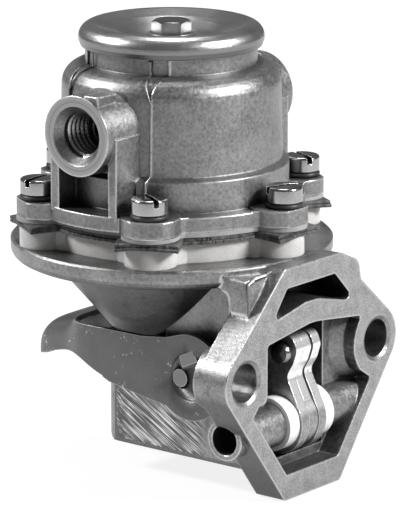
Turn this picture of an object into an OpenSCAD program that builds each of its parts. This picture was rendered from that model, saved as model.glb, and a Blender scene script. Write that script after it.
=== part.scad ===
// Mechanical diaphragm fuel pump, bolted to an engine by a two-hole flange.
// The origin lies midway between the two bolt holes, on the mounting face.
// +Z runs along the pump axis towards the cover, and -Y points into the engine.

/* [Mounting flange] */
// Distance between the two bolt holes
bolt_spacing = 50; // [48:0.5:56]
// Diameter of a bolt hole
bolt_hole_d = 9; // [8:0.1:9.5]
// Diameter of the countersink at the mouth of a bolt hole
bolt_sink_d = 10.8; // [10:0.1:12]
// Depth of that countersink
bolt_sink_depth = 0.5; // [0.3:0.1:0.8]
// Outer radius of the boss round a bolt hole
bolt_boss_r = 7.5; // [7:0.1:8]
// Thickness of the flange
flange_t = 8; // [6:0.1:9]
// Length of a bolt boss, from the mounting face
bolt_boss_len = 9.4; // [8.5:0.1:10.5]
// Height of the flange top above the bolt holes
flange_top = 23.6; // [22.5:0.1:23.8]
// Half width of the flange at its top
flange_top_half = 10.8; // [9:0.1:12]
// Drop of the flange foot below the bolt holes
flange_foot = 31.1; // [29:0.1:34]
// Half width of the flange at its foot
flange_foot_half = 10.6; // [9:0.1:12]
// Thickness of the rim that is left round the lever opening
opening_rim = 6; // [5:0.1:7]
// Height of the arch over the lever opening
arch_h = 9.3; // [8.9:0.1:10]
// Height of the arch where it meets the bolt bosses
arch_side_h = 7.1; // [6.5:0.1:7.5]
// Depth of the lever opening beside the lever box, which closes it behind the flange
opening_depth = 5.6; // [4.5:0.1:6.5]
// Radius of the far bolt boss where it stands in the lever opening
opening_boss_r = 9.1; // [8.6:0.1:9.6]
// Depth of the blind pocket above the arch
pocket_depth = 10; // [6:0.1:11]

/* [Lever box] */
// Distance from the mounting face to the pump axis
axis_y = 41.5; // [40.5:0.1:43]
// Outer half width of the lever box
box_half = 14; // [13.2:0.1:14.6]
// Thickness of the side walls of the lever box
side_wall = 3; // [2.6:0.1:3.4]
// Thickness of the back wall of the lever box
box_wall = 2.5; // [2:0.1:3]
// Distance from the pump axis to the back of the lever box
box_back = 11.5; // [10:0.1:12.5]
// Drop of the underside of the lever box
box_drop = 25.3; // [24.8:0.1:27]

/* [Diaphragm housing] */
// Radius of the lower housing disc
disc_r = 37.75; // [37.5:0.05:40]
// Thickness of the disc
disc_t = 4.8; // [4:0.1:5.2]
// Height of the disc's upper face above the bolt holes
disc_top = 24; // [23.9:0.1:26]
// Radius of the bowl where it meets the disc
bowl_top_r = 29; // [28:0.1:30]
// Radius of the bowl near its bottom
bowl_low_r = 15.6; // [15:0.1:16.5]
// Height of the bottom of the bowl
bowl_bottom = 0.8; // [0:0.1:1.5]
// Wall of the bowl
bowl_wall = 3; // [2.5:0.1:3.5]
// Number of clamp screws
screw_n = 6; // [6:1:6]
// Radius of the clamp screw circle
screw_pitch_r = 32.9; // [32.6:0.05:33.2]
// Shank diameter of a clamp screw
screw_d = 5; // [4:0.1:5.2]
// Diameter of a clamp screw's cheese head
head_d = 8.5; // [8:0.1:9]
// Height of a clamp screw's head
head_h = 3.7; // [3:0.1:4]
// Section diameter of a lock ring
lock_wire = 1.2; // [1:0.05:1.4]
// Height of the translucent spacer ring
spacer_h = 4.6; // [4.2:0.1:6]
// Outer radius of the spacer ring between its lobes
spacer_r = 30.2; // [29.8:0.1:30.6]
// Inner radius of the spacer ring
spacer_bore_r = 24.6; // [24:0.1:25]
// Radius of a spacer lobe
spacer_lobe_r = 6; // [5.6:0.1:6.2]
// Thickness of one diaphragm layer
layer_t = 0.8; // [0.6:0.05:1]
// Half width of a diaphragm tab
tab_half = 7.3; // [6.8:0.1:7.6]
// Thickness of the gasket above the diaphragm
gasket_t = 1; // [0.8:0.05:1.3]

/* [Upper body] */
// Thickness of the ears of the upper body
ear_t = 3.9; // [3.5:0.1:4.5]
// Radius of an ear
ear_r = 6.8; // [6.4:0.1:7]
// Outer radius of the upper body's flange between the ears
rim_r = 31.2; // [31:0.1:31.8]
// Radius of the lower band
band_r = 27.4; // [27:0.1:27.8]
// Height of the lower band above the ears
band_h = 6.8; // [6:0.1:8]
// Radius of the upper body
body_r = 25.5; // [25.2:0.1:26]
// Height of the cylinder above the ears, up to the shoulder
body_h = 25; // [24:0.5:28]
// Radius of the rounded shoulder
shoulder_r = 5; // [4.5:0.1:5.4]
// Radius of the neck under the cover
neck_r = 20; // [19.8:0.1:20.1]
// Height of the neck above the shoulder
neck_h = 3.9; // [3.5:0.1:5]
// Wall of the upper body
body_wall = 4; // [3.5:0.1:4.5]
// Half width of the recessed band left by the side core of the mould
core_half = 12; // [11:0.1:13]
// Depth of that recessed band
core_step = 0.5; // [0.3:0.05:0.8]

/* [Ports] */
// Height of the port axis above the ears
port_h = 17.7; // [17:0.1:19]
// Distance from the pump axis to the port face
port_reach = 34.4; // [33.5:0.1:36]
// Outer radius of the port boss
port_boss_r = 9.3; // [9:0.1:9.5]
// Radius of the countersink at the port mouth
port_sink_r = 6.9; // [6:0.1:7.2]
// Depth of the countersink
port_sink_depth = 2; // [1.5:0.1:2.5]
// Core radius of the port thread
port_bore_r = 5.2; // [5:0.05:5.4]
// Depth of the port thread
port_bore_len = 10.5; // [9.5:0.1:11]
// Distance from the pump axis to the front of the ribs under a port
rib_reach = 32; // [31:0.1:32.8]
// Thickness of a rib under a port
rib_t = 2.4; // [2:0.1:3]

/* [Cover] */
// Radius of the centre line of the rolled rim
rim_line_r = 18.4; // [18.3:0.05:18.6]
// Outer radius of the section of the rolled rim
roll_r = 3.2; // [3.1:0.05:3.4]
// Sheet thickness of the cover
cover_t = 1.2; // [1:0.05:1.2]
// Width across the flats of the cover bolt
bolt_af = 8; // [7:0.1:9]
// Height of the cover bolt's head
bolt_head_h = 2.9; // [2.5:0.1:3.5]
// Shank diameter of the cover bolt
cover_bolt_d = 5; // [4:0.1:5.2]

/* [Lever gear] */
// Distance of the lever pin behind the mounting face
pin_y = 6.4; // [6.1:0.05:6.7]
// Drop of the lever pin below the bolt holes
pin_drop = 14.5; // [14.2:0.05:14.7]
// Diameter of the lever pin
pin_d = 6.9; // [6.5:0.05:7]
// Running clearance of the lever pin, on the radius
pin_gap = 0.05; // [0.03:0.01:0.08]
// Radius of the inner pin bosses
pin_boss_r = 5.3; // [5.2:0.05:5.5]
// Radius of the outer pin bosses
pin_end_r = 4.8; // [4.5:0.05:5]
// Radius of the rocker hub
hub_r = 6.9; // [6.7:0.05:7.1]
// Radius of the nylon thrust washers
washer_r = 6.3; // [6:0.05:6.6]
// Thickness of a nylon thrust washer
washer_t = 3.7; // [3:0.05:4]
// Thickness of a rocker plate
plate_t = 2.8; // [2.6:0.05:3.1]
// Thickness of the pull link
link_t = 3.3; // [3:0.05:3.5]
// Side clearance between moving plates
side_gap = 0.15; // [0.1:0.01:0.2]
// Diameter of the pull rod
rod_d = 5.6; // [5:0.1:6]

/* [Hand primer] */
// Distance of the primer shaft behind the mounting face
primer_y = 21.6; // [21.4:0.1:22.2]
// Drop of the primer shaft below the bolt holes
primer_drop = 3.8; // [3.6:0.1:4]
// Diameter of the primer shaft
primer_shaft_d = 9; // [8:0.1:9.4]
// Thickness of the primer sheet
primer_t = 1.3; // [1:0.05:1.5]
// Distance from a side of the lever box to the outside of the primer fork
fork_room = 4.7; // [4.4:0.1:5]
// Radius of the round end of a primer arm
arm_end_r = 10.2; // [9.5:0.1:10.6]
// Gap between the back of the lever box and the web of the fork
fork_gap = 5.4; // [5:0.1:7]
// Length of the handle behind the fork
handle_len = 15.5; // [12:0.1:20]
// Half width of the handle
handle_half = 10; // [8:0.1:12]

/* [Hidden] */
$fn = 48;

// Small amounts: cut overshoot, seat clearance and free running clearance
cut = 1;
seat = 0.1;
run = 0.3;

// Heights of the clamped stack
spacer_top = disc_top + spacer_h;
layers_top = spacer_top + 2 * layer_t;
gasket_top = layers_top + gasket_t;
ear_top = gasket_top + ear_t;
head_z = ear_top + lock_wire;
screw_tip_z = disc_top - disc_t + 0.6;
screw_hole_r = screw_d / 2 + 0.1;
lobe_pitch_r = screw_pitch_r - 1.6;
ear_reach = lobe_pitch_r + spacer_lobe_r - 0.1;
disc_low = disc_top - disc_t;

// Heights of the upper body
band_top = ear_top + band_h;
body_top = ear_top + body_h;
shoulder_top = body_top + shoulder_r;
neck_top = shoulder_top + neck_h;
port_z = ear_top + port_h;
chamber_roof = gasket_top + 5.2;
valve_floor = chamber_roof + 4.6;
filter_seat = shoulder_top + 0.7;
valve_x = 11.5;
valve_r = 7.4;
divider_half = 1.75;
post_r = 5.5;
post_top = filter_seat;
neck_bore_r = neck_r - 2.4;

// Cover
roll_z = neck_top + 1.95;
cover_centre = roll_z + 0.15;
washer_h = 0.6;
bolt_seat = cover_centre + washer_h;

// Bowl and lever box
box_depth = axis_y + box_back;
cavity_half = box_half - side_wall;
cavity_floor = box_wall - box_drop;
bowl_floor = bowl_bottom + 4.2;
cavity_roof = bowl_bottom - 1.8;

// Lever gear
pin = [pin_y, -pin_drop];
pin_half = box_half + 1;
pin_end_x = bolt_spacing / 2 - 0.2;
stack_half = link_t / 2 + side_gap + plate_t;
washer_x = stack_half + seat;
boss_x = washer_x + washer_t + seat;
opening_half = bolt_spacing / 2 - bolt_boss_r - 0.3;
rivet_at = pin + [-1.4, 16.7];
rivet_r = 2;
drive_at = [pin_y + 7.7, 5 - pin_drop];
drive_r = 1.8;
link_hub_r = hub_r - 0.2;
link_top = drive_at[1] - drive_r - run;
link_low = link_top - 4.5;
nose_low = 1.7 - 2 - pin_drop;
nose_top = nose_low + 3.4;
rod_block_y = 3.5;
window_low = nose_low - 0.8;
window_top = nose_top + 1.15;
tail_low = link_low - 0.7;
tail_end = pin_y + 13.6;

// Hand primer
primer = [primer_y, -primer_drop];
fork_half = box_half + fork_room;
fork_in = fork_half - primer_t;
fork_depth = box_depth + fork_gap;
handle_reach = fork_depth + primer_t + handle_len;
tenon_at = [0.6, 4.3];
round_at = [3, -0.6];
tenon_half = [2.4, 1.4];
round_r = 2.1;
cam_reach = primer[1] - link_top - run;
shaft_boss = box_half + 1.3;
shaft_gap = 0.08;
shaft_face = fork_in - 0.9 - seat;
seal_depth = 1.2;
seal_wire = 1;
seal_line_r = primer_shaft_d / 2 + run + seal_wire / 2;
bend_r = 2;
bend_at = [fork_depth + primer_t + bend_r, -0.9];

// Points of an arc about centre c, from angle a to angle b
function arc(c, r, a, b, n = 8) =
    [for (i = [0:n]) c + r * [cos(a + (b - a) * i / n), sin(a + (b - a) * i / n)]];

// Unit vector from p to q
function unit(p, q) = (q - p) / norm(q - p);

// Outline with each corner rounded: pts are corners, radii their radii
function rounded(pts, radii, n = 5) = [
    for (i = [0:len(pts) - 1])
        let (
            p = pts[i],
            u = unit(p, pts[(i + len(pts) - 1) % len(pts)]),
            v = unit(p, pts[(i + 1) % len(pts)]),
            half = acos(u * v) / 2,
            r = radii[i],
            mid = unit([0, 0], u + v),
            c = p + mid * r / sin(half),
            a = atan2((p + u * r / tan(half) - c)[1], (p + u * r / tan(half) - c)[0]),
            b0 = atan2((p + v * r / tan(half) - c)[1], (p + v * r / tan(half) - c)[0]),
            b = b0 - a > 180 ? b0 - 360 : b0 - a < -180 ? b0 + 360 : b0
        )
        each r == 0 ? [p] : arc(c, r, a, b, n)
];

// A drawing in Y and Z, extruded along X from x0 to x1
module along_x(x0, x1) {
    translate([x0, 0, 0]) rotate([90, 0, 90]) linear_extrude(x1 - x0) children();
}

// A drawing in X and Z, extruded along Y from y0 to y1
module along_y(y0, y1) {
    translate([0, y1, 0]) rotate([90, 0, 0]) linear_extrude(y1 - y0) children();
}

// Moves a child from the origin to the pump axis
module on_axis() {
    translate([0, axis_y, 0]) children();
}

// Repeats a child at each clamp screw, with X pointing outwards
module at_screws(r = screw_pitch_r) {
    on_axis() for (i = [0:screw_n - 1])
        rotate(360 / screw_n * (i + 0.5)) translate([r, 0, 0]) children();
}

// Ring of round section lying flat
module torus(r, wire) {
    rotate_extrude() translate([r, 0]) circle(d = wire, $fn = 16);
}

// Helical wire spring standing on z = 0, wire ends buried in the first and last turn
module coil(r, wire, h, turns) {
    sides = 6;
    steps = 14;
    rings = turns * steps;
    ring_z = h - wire;
    points = [for (i = [0:rings], j = [0:sides - 1])
        let (a = 360 * i / steps, b = 360 * j / sides, q = r + wire / 2 * cos(b))
        [q * cos(a), q * sin(a), wire / 2 + ring_z * i / rings + wire / 2 * sin(b)]];
    walls = [for (i = [0:rings - 1], j = [0:sides - 1])
        let (k = (j + 1) % sides)
        [i * sides + j, (i + 1) * sides + j, (i + 1) * sides + k, i * sides + k]];
    ends = [[for (j = [0:sides - 1]) j], [for (j = [sides - 1:-1:0]) rings * sides + j]];
    polyhedron(points, concat(walls, ends), convexity = 10);
}

// Round plate standing on z = 0, with a lobe at each clamp screw and a flank beside it;
// the plate is lower than its lobes by drop, and the flanks by half of that
module lobed(h, r, lobe_r, flank, drop = 0) {
    turn = asin(lobe_r / r) + flank;
    inner = (r - 0.3) * [cos(turn), sin(turn)];
    outer = [lobe_pitch_r, lobe_r - 0.3];
    cylinder(r = r, h = h - drop, $fn = 96);
    for (i = [0:screw_n - 1]) rotate(360 / screw_n * (i + 0.5)) {
        translate([lobe_pitch_r, 0, 0]) cylinder(r = lobe_r, h = h);
        linear_extrude(h - drop / 2) polygon([
            [inner[0], -inner[1]], [outer[0], -outer[1]], outer, inner
        ]);
    }
}

// Lower housing

// Outline of the flange, seen from the engine, with a round boss at each bolt hole
module flange_outline() {
    x = bolt_spacing / 2;
    r = bolt_boss_r;
    polygon(concat(
        rounded([
            [-flange_foot_half, -flange_foot], [flange_foot_half, -flange_foot],
            [x + r * 0.87, -r * 0.5], [x + r * 0.66, r * 0.76],
            [flange_top_half + 7.6, flange_top - 8], [flange_top_half + 6.6, flange_top - 3.2],
            [flange_top_half - 0.6, flange_top], [-flange_top_half, flange_top],
            [-x - r * 0.66, r * 0.76], [-x - r * 0.87, -r * 0.5]
        ], [1.5, 1.5, 0, 0, 1.5, 3, 4, 0.6, 0, 0])
    ));
    for (side = [-1, 1]) translate([side * x, 0]) circle(r);
}

// Outline of the lever opening in the flange
module opening_outline() {
    foot = flange_foot_half - 0.8;
    low = opening_rim - flange_foot;
    boss = arc([bolt_spacing / 2, 0], opening_boss_r, 223, 137);
    polygon(rounded(concat(
        [[-foot, low], [foot, low], [opening_half + 5.2, -8.8]],
        boss,
        [[opening_half + 2.6, arch_side_h - 0.4], [0, arch_h], [-opening_half, arch_side_h],
         [-opening_half, -6.2], [-opening_half - 3, -6.4], [-opening_half - 5.2, -8.8]]
    ), concat([1.2, 1.2, 0.6], [for (p = boss) 0], [0.5, 20, 1, 1.5, 0.6, 0.6])));
}

// Lever opening as a solid: the far bolt boss stands in it on a conical foot
module opening_cut() {
    foot_h = 2.8;
    difference() {
        along_y(-cut, opening_depth) opening_outline();
        translate([bolt_spacing / 2, opening_depth - foot_h, 0]) rotate([-90, 0, 0])
            cylinder(r1 = opening_boss_r - 0.4, r2 = opening_boss_r + 2.6, h = foot_h + 0.2);
    }
}

// Outline of the blind pocket above the arch
module pocket_outline() {
    low = arch_h + 2.7;
    high = flange_top - 4.6;
    half = flange_top_half;
    polygon(rounded([
        [-half - 4.6, low], [-2.6, arch_h + 5.2], [2, arch_h + 5.1], [half + 1.2, low],
        [half + 4.4, low], [half - 2.6, high], [0.8 - half, high]
    ], [1, 6, 6, 3, 1, 1.2, 1.2]));
}

// Outer form of the lever box: three rounded outlines crossed
module box_outer() {
    high = disc_low + 1;
    intersection() {
        along_y(0, box_depth + cut) polygon(rounded([
            [-box_half, -box_drop], [box_half, -box_drop], [box_half, high], [-box_half, high]
        ], [2.5, 2.5, 0, 0]));
        translate([0, 0, -box_drop - cut]) linear_extrude(box_drop + high + 2 * cut)
            polygon(rounded([
                [-box_half, flange_t / 2], [box_half, flange_t / 2],
                [box_half, box_depth], [-box_half, box_depth]
            ], [0, 0, 8, 8], 8));
        along_x(-box_half - cut, box_half + cut) polygon(rounded([
            [flange_t / 2, -box_drop], [box_depth, -box_drop], [box_depth, bowl_bottom + 0.7],
            [axis_y - 9, bowl_bottom + 0.7], [axis_y - 12, high], [flange_t / 2, high]
        ], [0, 7, 1, 0, 0, 0]));
    }
}

// Inner form of the lever box
module box_cavity() {
    back = box_depth - box_wall;
    front = opening_depth - cut;
    intersection() {
        along_x(-cavity_half, cavity_half) polygon([
            [front, arch_side_h], [primer_y - 2.4, arch_side_h + 1.4],
            [primer_y + 5.4, bowl_bottom + 0.4], [primer_y + 9.4, cavity_roof],
            [back, cavity_roof], [back, cavity_floor], [front, cavity_floor]
        ]);
        translate([0, 0, cavity_floor - cut]) linear_extrude(arch_h - cavity_floor + cut)
            polygon(rounded([
                [-cavity_half, 0], [cavity_half, 0], [cavity_half, back], [-cavity_half, back]
            ], [0, 0, 6, 6], 8));
    }
}

module disc_and_bowl() {
    on_axis() rotate_extrude($fn = 96) polygon(concat(
        [[0, bowl_bottom]],
        arc([bowl_low_r - 4.6, bowl_bottom + 4.6], 4.6, -90, -46, 4),
        [[bowl_top_r - 1, disc_low - 1], [bowl_top_r + 0.6, disc_low]],
        arc([disc_r - 2.5, disc_low + 2.5], 2.5, -90, 0, 5),
        [[disc_r, disc_top - 0.5], [disc_r - 0.5, disc_top], [0, disc_top]]
    ));
}

module bowl_hollow() {
    inner_top = bowl_top_r - bowl_wall - 0.6;
    on_axis() rotate_extrude($fn = 96) polygon([
        [0, bowl_floor], [bowl_low_r - bowl_wall - 1.4, bowl_floor],
        [bowl_low_r - bowl_wall + 0.6, bowl_floor + 2.2], [inner_top, disc_low],
        [inner_top, disc_top + cut], [0, disc_top + cut]
    ]);
}

module lower_body() {
    color("darkgray") difference() {
        union() {
            disc_and_bowl();
            box_outer();
            along_y(0, flange_t) flange_outline();
            for (side = [-1, 1]) {
                translate([side * bolt_spacing / 2, 0, 0]) rotate([-90, 0, 0])
                    cylinder(r = bolt_boss_r, h = bolt_boss_len);
                mirror([side > 0 ? 0 : 1, 0, 0]) along_x(box_half, box_half + 3)
                    polygon([
                        [flange_t - 1, disc_low + 1], [flange_t - 1, disc_low - 7.6],
                        [flange_t + 3.2, disc_low - 7.8], [flange_t + 3.4, disc_low - 2.3],
                        [flange_t + 6, disc_low + 1]
                    ]);
                translate([side * 10, pin_y, -pin_drop]) rotate([0, side * 90, 0])
                    cylinder(r = pin_end_r, h = pin_end_x - 10);
            }
            translate([-shaft_boss, primer_y, -primer_drop]) rotate([0, 90, 0])
                cylinder(r = 7, h = 2 * shaft_boss);
        }
        difference() {
            opening_cut();
            for (side = [-1, 1])
                translate([side * boss_x, pin_y, -pin_drop]) rotate([0, side * 90, 0])
                    cylinder(r = pin_boss_r, h = 20);
        }
        difference() {
            box_cavity();
            for (side = [-1, 1])
                translate([side * boss_x, pin_y, -pin_drop]) rotate([0, side * 90, 0])
                    cylinder(r = pin_boss_r, h = 20);
        }
        along_y(-cut, pocket_depth) pocket_outline();
        bowl_hollow();
        for (side = [-1, 1]) translate([side * bolt_spacing / 2, 0, 0]) rotate([-90, 0, 0]) {
            translate([0, 0, -cut]) cylinder(d = bolt_hole_d, h = bolt_boss_len + 2 * cut);
            translate([0, 0, -0.01])
                cylinder(d1 = bolt_sink_d, d2 = bolt_hole_d, h = bolt_sink_depth);
        }
        translate([-bolt_spacing, pin_y, -pin_drop]) rotate([0, 90, 0])
            cylinder(d = pin_d + 2 * pin_gap, h = 2 * bolt_spacing);
        translate([-shaft_boss - cut, primer_y, -primer_drop]) rotate([0, 90, 0])
            cylinder(d = primer_shaft_d + 2 * shaft_gap, h = 2 * shaft_boss + 2 * cut);
        for (side = [-1, 1])
            translate([side * (shaft_boss - seal_depth), primer_y, -primer_drop]) rotate([0, side * 90, 0])
                cylinder(r = seal_line_r + seal_wire / 2 + seat, h = seal_depth + cut);
        at_screws() translate([0, 0, disc_low - cut]) cylinder(r = screw_hole_r, h = disc_t + 2 * cut);
        on_axis() translate([0, 0, cavity_roof - cut])
            cylinder(d = rod_d + 0.7, h = bowl_floor - cavity_roof + 2 * cut);
        on_axis() translate([0, 0, bowl_floor - 2]) cylinder(r = 6, h = 2 + cut);
    }
}

// Clamped stack

module spacer_ring() {
    color("ivory") difference() {
        on_axis() translate([0, 0, disc_top]) lobed(spacer_h, spacer_r, spacer_lobe_r, 5);
        on_axis() translate([0, 0, disc_top - cut]) cylinder(r = spacer_bore_r, h = spacer_h + 2 * cut);
        at_screws() translate([0, 0, disc_top - cut]) cylinder(r = screw_hole_r, h = spacer_h + 2 * cut);
    }
}

// One fabric layer: round sheet with a square-cornered tab at each screw
module fabric_layer(z, grow) {
    difference() {
        on_axis() translate([0, 0, z]) linear_extrude(layer_t) {
            circle(rim_r + grow, $fn = 96);
            for (i = [0:screw_n - 1]) rotate(360 / screw_n * (i + 0.5))
                translate([lobe_pitch_r - 6, -tab_half]) square([12 + grow, 2 * tab_half]);
        }
        on_axis() translate([0, 0, z - cut]) cylinder(r = rod_d / 2, h = layer_t + 2 * cut);
        at_screws() translate([0, 0, z - cut]) cylinder(r = screw_hole_r, h = layer_t + 2 * cut);
    }
}

module diaphragm_lower_layer() {
    color("dimgray") fabric_layer(spacer_top, 0.3);
}

module diaphragm_upper_layer() {
    color([0.28, 0.28, 0.27]) fabric_layer(spacer_top + layer_t, 0);
}

module diaphragm_gasket() {
    color("gray") difference() {
        on_axis() translate([0, 0, layers_top]) lobed(gasket_t, rim_r + 0.1, ear_r - 0.1, 3.5);
        on_axis() translate([0, 0, layers_top - cut])
            cylinder(r = spacer_bore_r, h = gasket_t + 2 * cut);
        at_screws() translate([0, 0, layers_top - cut]) cylinder(r = screw_hole_r, h = gasket_t + 2 * cut);
    }
}

module clamp_screws() {
    slot_w = 1.3;
    slot_depth = 1.6;
    color("silver") at_screws() difference() {
        rotate_extrude() polygon(concat(
            [[0, screw_tip_z], [screw_d / 2 - 0.5, screw_tip_z], [screw_d / 2, screw_tip_z + 0.6],
             [screw_d / 2, head_z], [head_d / 2, head_z]],
            arc([head_d / 2 - 0.7, head_z + head_h - 0.7], 0.7, 0, 80, 4),
            [[0, head_z + head_h + 0.15]]
        ));
        rotate(75) translate([-head_d, -slot_w / 2, head_z + head_h - slot_depth])
            cube([2 * head_d, slot_w, slot_depth + cut]);
    }
}

module lock_rings() {
    color([0.12, 0.12, 0.12]) at_screws() translate([0, 0, ear_top + lock_wire / 2])
        torus(head_d / 2 - lock_wire / 2 + 0.1, lock_wire);
}

// Upper body

// Outer outline of the upper body as radius and height, reduced by step
function body_outline(step = 0) = concat(
    [[0, gasket_top + cut], [band_r - step, gasket_top + cut], [band_r - step, band_top],
     [body_r + 0.4 - step, band_top + 0.9]],
    arc([body_r - shoulder_r - step, body_top], shoulder_r, 0, 90, 8),
    [[neck_r - step, shoulder_top], [neck_r - step, neck_top], [0, neck_top]]
);

// One port: threaded boss on an arch of two ribs, over a ledge; points along +X
module port_form() {
    arch = port_boss_r + 0.4;
    translate([0, 0, port_z]) rotate([0, 90, 0]) {
        cylinder(r = port_boss_r, h = port_reach);
        cylinder(r1 = arch + 0.6, r2 = arch - 0.4, h = rib_reach);
    }
    for (side = [-1, 1])
        translate([0, side * (arch - rib_t / 2) - rib_t / 2, ear_top - cut])
            cube([rib_reach, rib_t, port_h + cut]);
    translate([0, 0, gasket_top + 0.2]) intersection() {
        cylinder(r = rib_reach + 1.2, h = ear_t - 0.5, $fn = 96);
        translate([0, -arch - 0.5, 0]) cube([port_reach, 2 * arch + 1, ear_t]);
    }
    translate([port_reach - 7.4, 1.8, port_z + port_boss_r - 2.6]) cube([6.6, 4, 2.8]);
}

module port_bore() {
    translate([0, 0, port_z]) rotate([0, 90, 0]) {
        translate([0, 0, port_reach - port_bore_len]) cylinder(r = port_bore_r, h = port_bore_len + cut);
        translate([0, 0, 12]) cylinder(r = 3.6, h = port_reach - 12);
        translate([0, 0, port_reach - port_sink_depth])
            cylinder(r1 = port_bore_r, r2 = port_sink_r, h = port_sink_depth + 0.01);
    }
}

// Half-round chamber on the +X side of the divider
module half_chamber(z0, z1) {
    r = body_r - body_wall;
    intersection() {
        translate([0, 0, z0]) cylinder(r = r, h = z1 - z0, $fn = 96);
        translate([divider_half, -r, z0]) cube([r, 2 * r, z1 - z0]);
    }
}

module upper_body() {
    roof = body_top - 3;
    color("lightgray") on_axis() difference() {
        union() {
            difference() {
                rotate_extrude($fn = 96) polygon(body_outline());
                difference() {
                    for (side = [-1, 1])
                        translate([side > 0 ? 0 : -band_r - cut, -core_half, ear_top - 0.5])
                            cube([band_r + cut, 2 * core_half, neck_top]);
                    rotate_extrude($fn = 96) polygon(body_outline(core_step));
                }
            }
            translate([0, 0, gasket_top]) intersection() {
                lobed(ear_t, rim_r, ear_r, 3.5, 0.4);
                cylinder(r = ear_reach, h = ear_t, $fn = 96);
            }
            for (turn = [0, 180]) rotate(turn) port_form();
        }
        rotate_extrude($fn = 96) polygon([
            [0, gasket_top - cut], [spacer_bore_r, gasket_top - cut], [spacer_bore_r, gasket_top],
            [spacer_bore_r - 3, chamber_roof], [0, chamber_roof]
        ]);
        for (side = [-1, 1]) translate([side * valve_x, 0, chamber_roof - cut])
            cylinder(r = valve_r + seat, h = valve_floor - chamber_roof + 2 * cut);
        difference() {
            union() {
                rotate(180) half_chamber(valve_floor, body_top);
                half_chamber(valve_floor, roof);
                translate([0, 0, body_top - cut]) cylinder(r = neck_bore_r - 1.4, h = neck_top - body_top + 2 * cut);
            }
            cylinder(r = post_r, h = post_top);
        }
        translate([0, 0, filter_seat]) cylinder(r = neck_bore_r, h = neck_top - filter_seat + cut);
        translate([0, 0, valve_floor]) cylinder(r = cover_bolt_d / 2 + seat, h = neck_top - valve_floor);
        for (turn = [0, 180]) rotate(turn) port_bore();
        // Screw holes, and the room that each head and lock ring needs beside the body
        for (i = [0:screw_n - 1]) rotate(360 / screw_n * (i + 0.5)) {
            translate([screw_pitch_r, 0, gasket_top - cut])
                cylinder(r = screw_hole_r, h = ear_t + 2 * cut);
            translate([screw_pitch_r, 0, ear_top + 0.01])
                cylinder(r = head_d / 2 + run, h = lock_wire + head_h + run);
        }
    }
}

// Cover

module top_cover() {
    top = cover_centre;
    low = top - cover_t;
    inner = roll_r - cover_t;
    color("silver") on_axis() rotate_extrude($fn = 96) polygon(concat(
        [[cover_bolt_d / 2 + seat, low], [cover_bolt_d / 2 + seat, top], [6, top], [7.2, top - 0.8],
         [9.4, top - 0.8], [10.6, top - 0.2], [12.6, top + 1.3], [13.9, top + 1.85]],
        arc([rim_line_r, roll_z], roll_r, 112, -12, 12),
        [[rim_line_r + inner + 0.7, neck_top + 0.1], [rim_line_r + inner - 0.2, neck_top + 0.1]],
        arc([rim_line_r, roll_z], inner, -10, 112, 10),
        [[14.3, top + 0.7], [13, top + 0.1], [11.2, low - 0.2], [9.8, low - 0.8], [6.8, low - 0.8],
         [5.6, low]]
    ));
}

module cover_gasket() {
    color([0.2, 0.2, 0.2]) on_axis() translate([0, 0, neck_top]) difference() {
        cylinder(r = neck_r - 0.4, h = 3);
        translate([0, 0, -cut]) cylinder(r = neck_bore_r - 0.6, h = 3 + 2 * cut);
    }
}

module cover_washer() {
    color("silver") on_axis() translate([0, 0, cover_centre]) difference() {
        cylinder(r = 5.2, h = washer_h);
        translate([0, 0, -cut]) cylinder(r = cover_bolt_d / 2 + seat, h = washer_h + 2 * cut);
    }
}

module cover_bolt() {
    corner = bolt_af / 2 / cos(30);
    color("gainsboro") on_axis() {
        intersection() {
            translate([0, 0, bolt_seat]) rotate(8) cylinder(r = corner, h = bolt_head_h, $fn = 6);
            rotate_extrude() polygon([
                [0, bolt_seat], [corner + 1, bolt_seat], [corner + 1, bolt_seat + bolt_head_h - 0.9],
                [bolt_af / 2 - 0.1, bolt_seat + bolt_head_h], [0, bolt_seat + bolt_head_h]
            ]);
        }
        translate([0, 0, post_top - 12]) cylinder(d = cover_bolt_d, h = bolt_seat - post_top + 12);
    }
}

// Gauze disc in a rim; the gauze is drawn as rings of round holes
module filter_screen() {
    rim = neck_bore_r - run;
    color("goldenrod") on_axis() translate([0, 0, filter_seat]) difference() {
        union() {
            cylinder(r = rim, h = 0.6);
            difference() {
                cylinder(r = rim, h = 1.6);
                translate([0, 0, -cut]) cylinder(r = rim - 1.2, h = 1.6 + 2 * cut);
            }
            cylinder(r = 5, h = 1.6);
        }
        translate([0, 0, -cut]) cylinder(r = cover_bolt_d / 2 + run, h = 1.6 + 2 * cut);
        for (row = [0:2], i = [0:11 + 4 * row])
            rotate(360 * i / (12 + 4 * row)) translate([7.4 + 2.9 * row, 0, -cut])
                cylinder(r = 1, h = 0.6 + 2 * cut, $fn = 16);
    }
}

// Valves: a cage with its seat at the top; the outlet cage is the same, upside down

cage_h = 5.2;
disc_h = 1;
cage_floor = 1;
cage_roof = 1.2;
disc_rest = cage_h - cage_roof - disc_h - seat;

module valve_cage() {
    difference() {
        cylinder(r = valve_r, h = cage_h);
        translate([0, 0, cage_floor]) cylinder(r = valve_r - 1.4, h = cage_h - cage_floor - cage_roof);
        translate([0, 0, cage_floor]) cylinder(r = 4, h = cage_h);
        for (i = [0:4]) rotate(72 * i) translate([4.2, 0, -cut]) cylinder(r = 1.3, h = cage_floor + 2 * cut);
    }
}

module valve_disc() {
    translate([0, 0, disc_rest]) cylinder(r = valve_r - 1.4 - run, h = disc_h);
}

module valve_spring() {
    translate([0, 0, cage_floor]) coil(2.2, 0.4, disc_rest - cage_floor, 3);
}

// Places a child of the inlet valve
module inlet_place() {
    translate([-valve_x, axis_y, valve_floor - cage_h]) children();
}

// Places a child of the outlet valve, upside down
module outlet_place() {
    translate([valve_x, axis_y, chamber_roof + cage_h]) mirror([0, 0, 1]) children();
}

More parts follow.
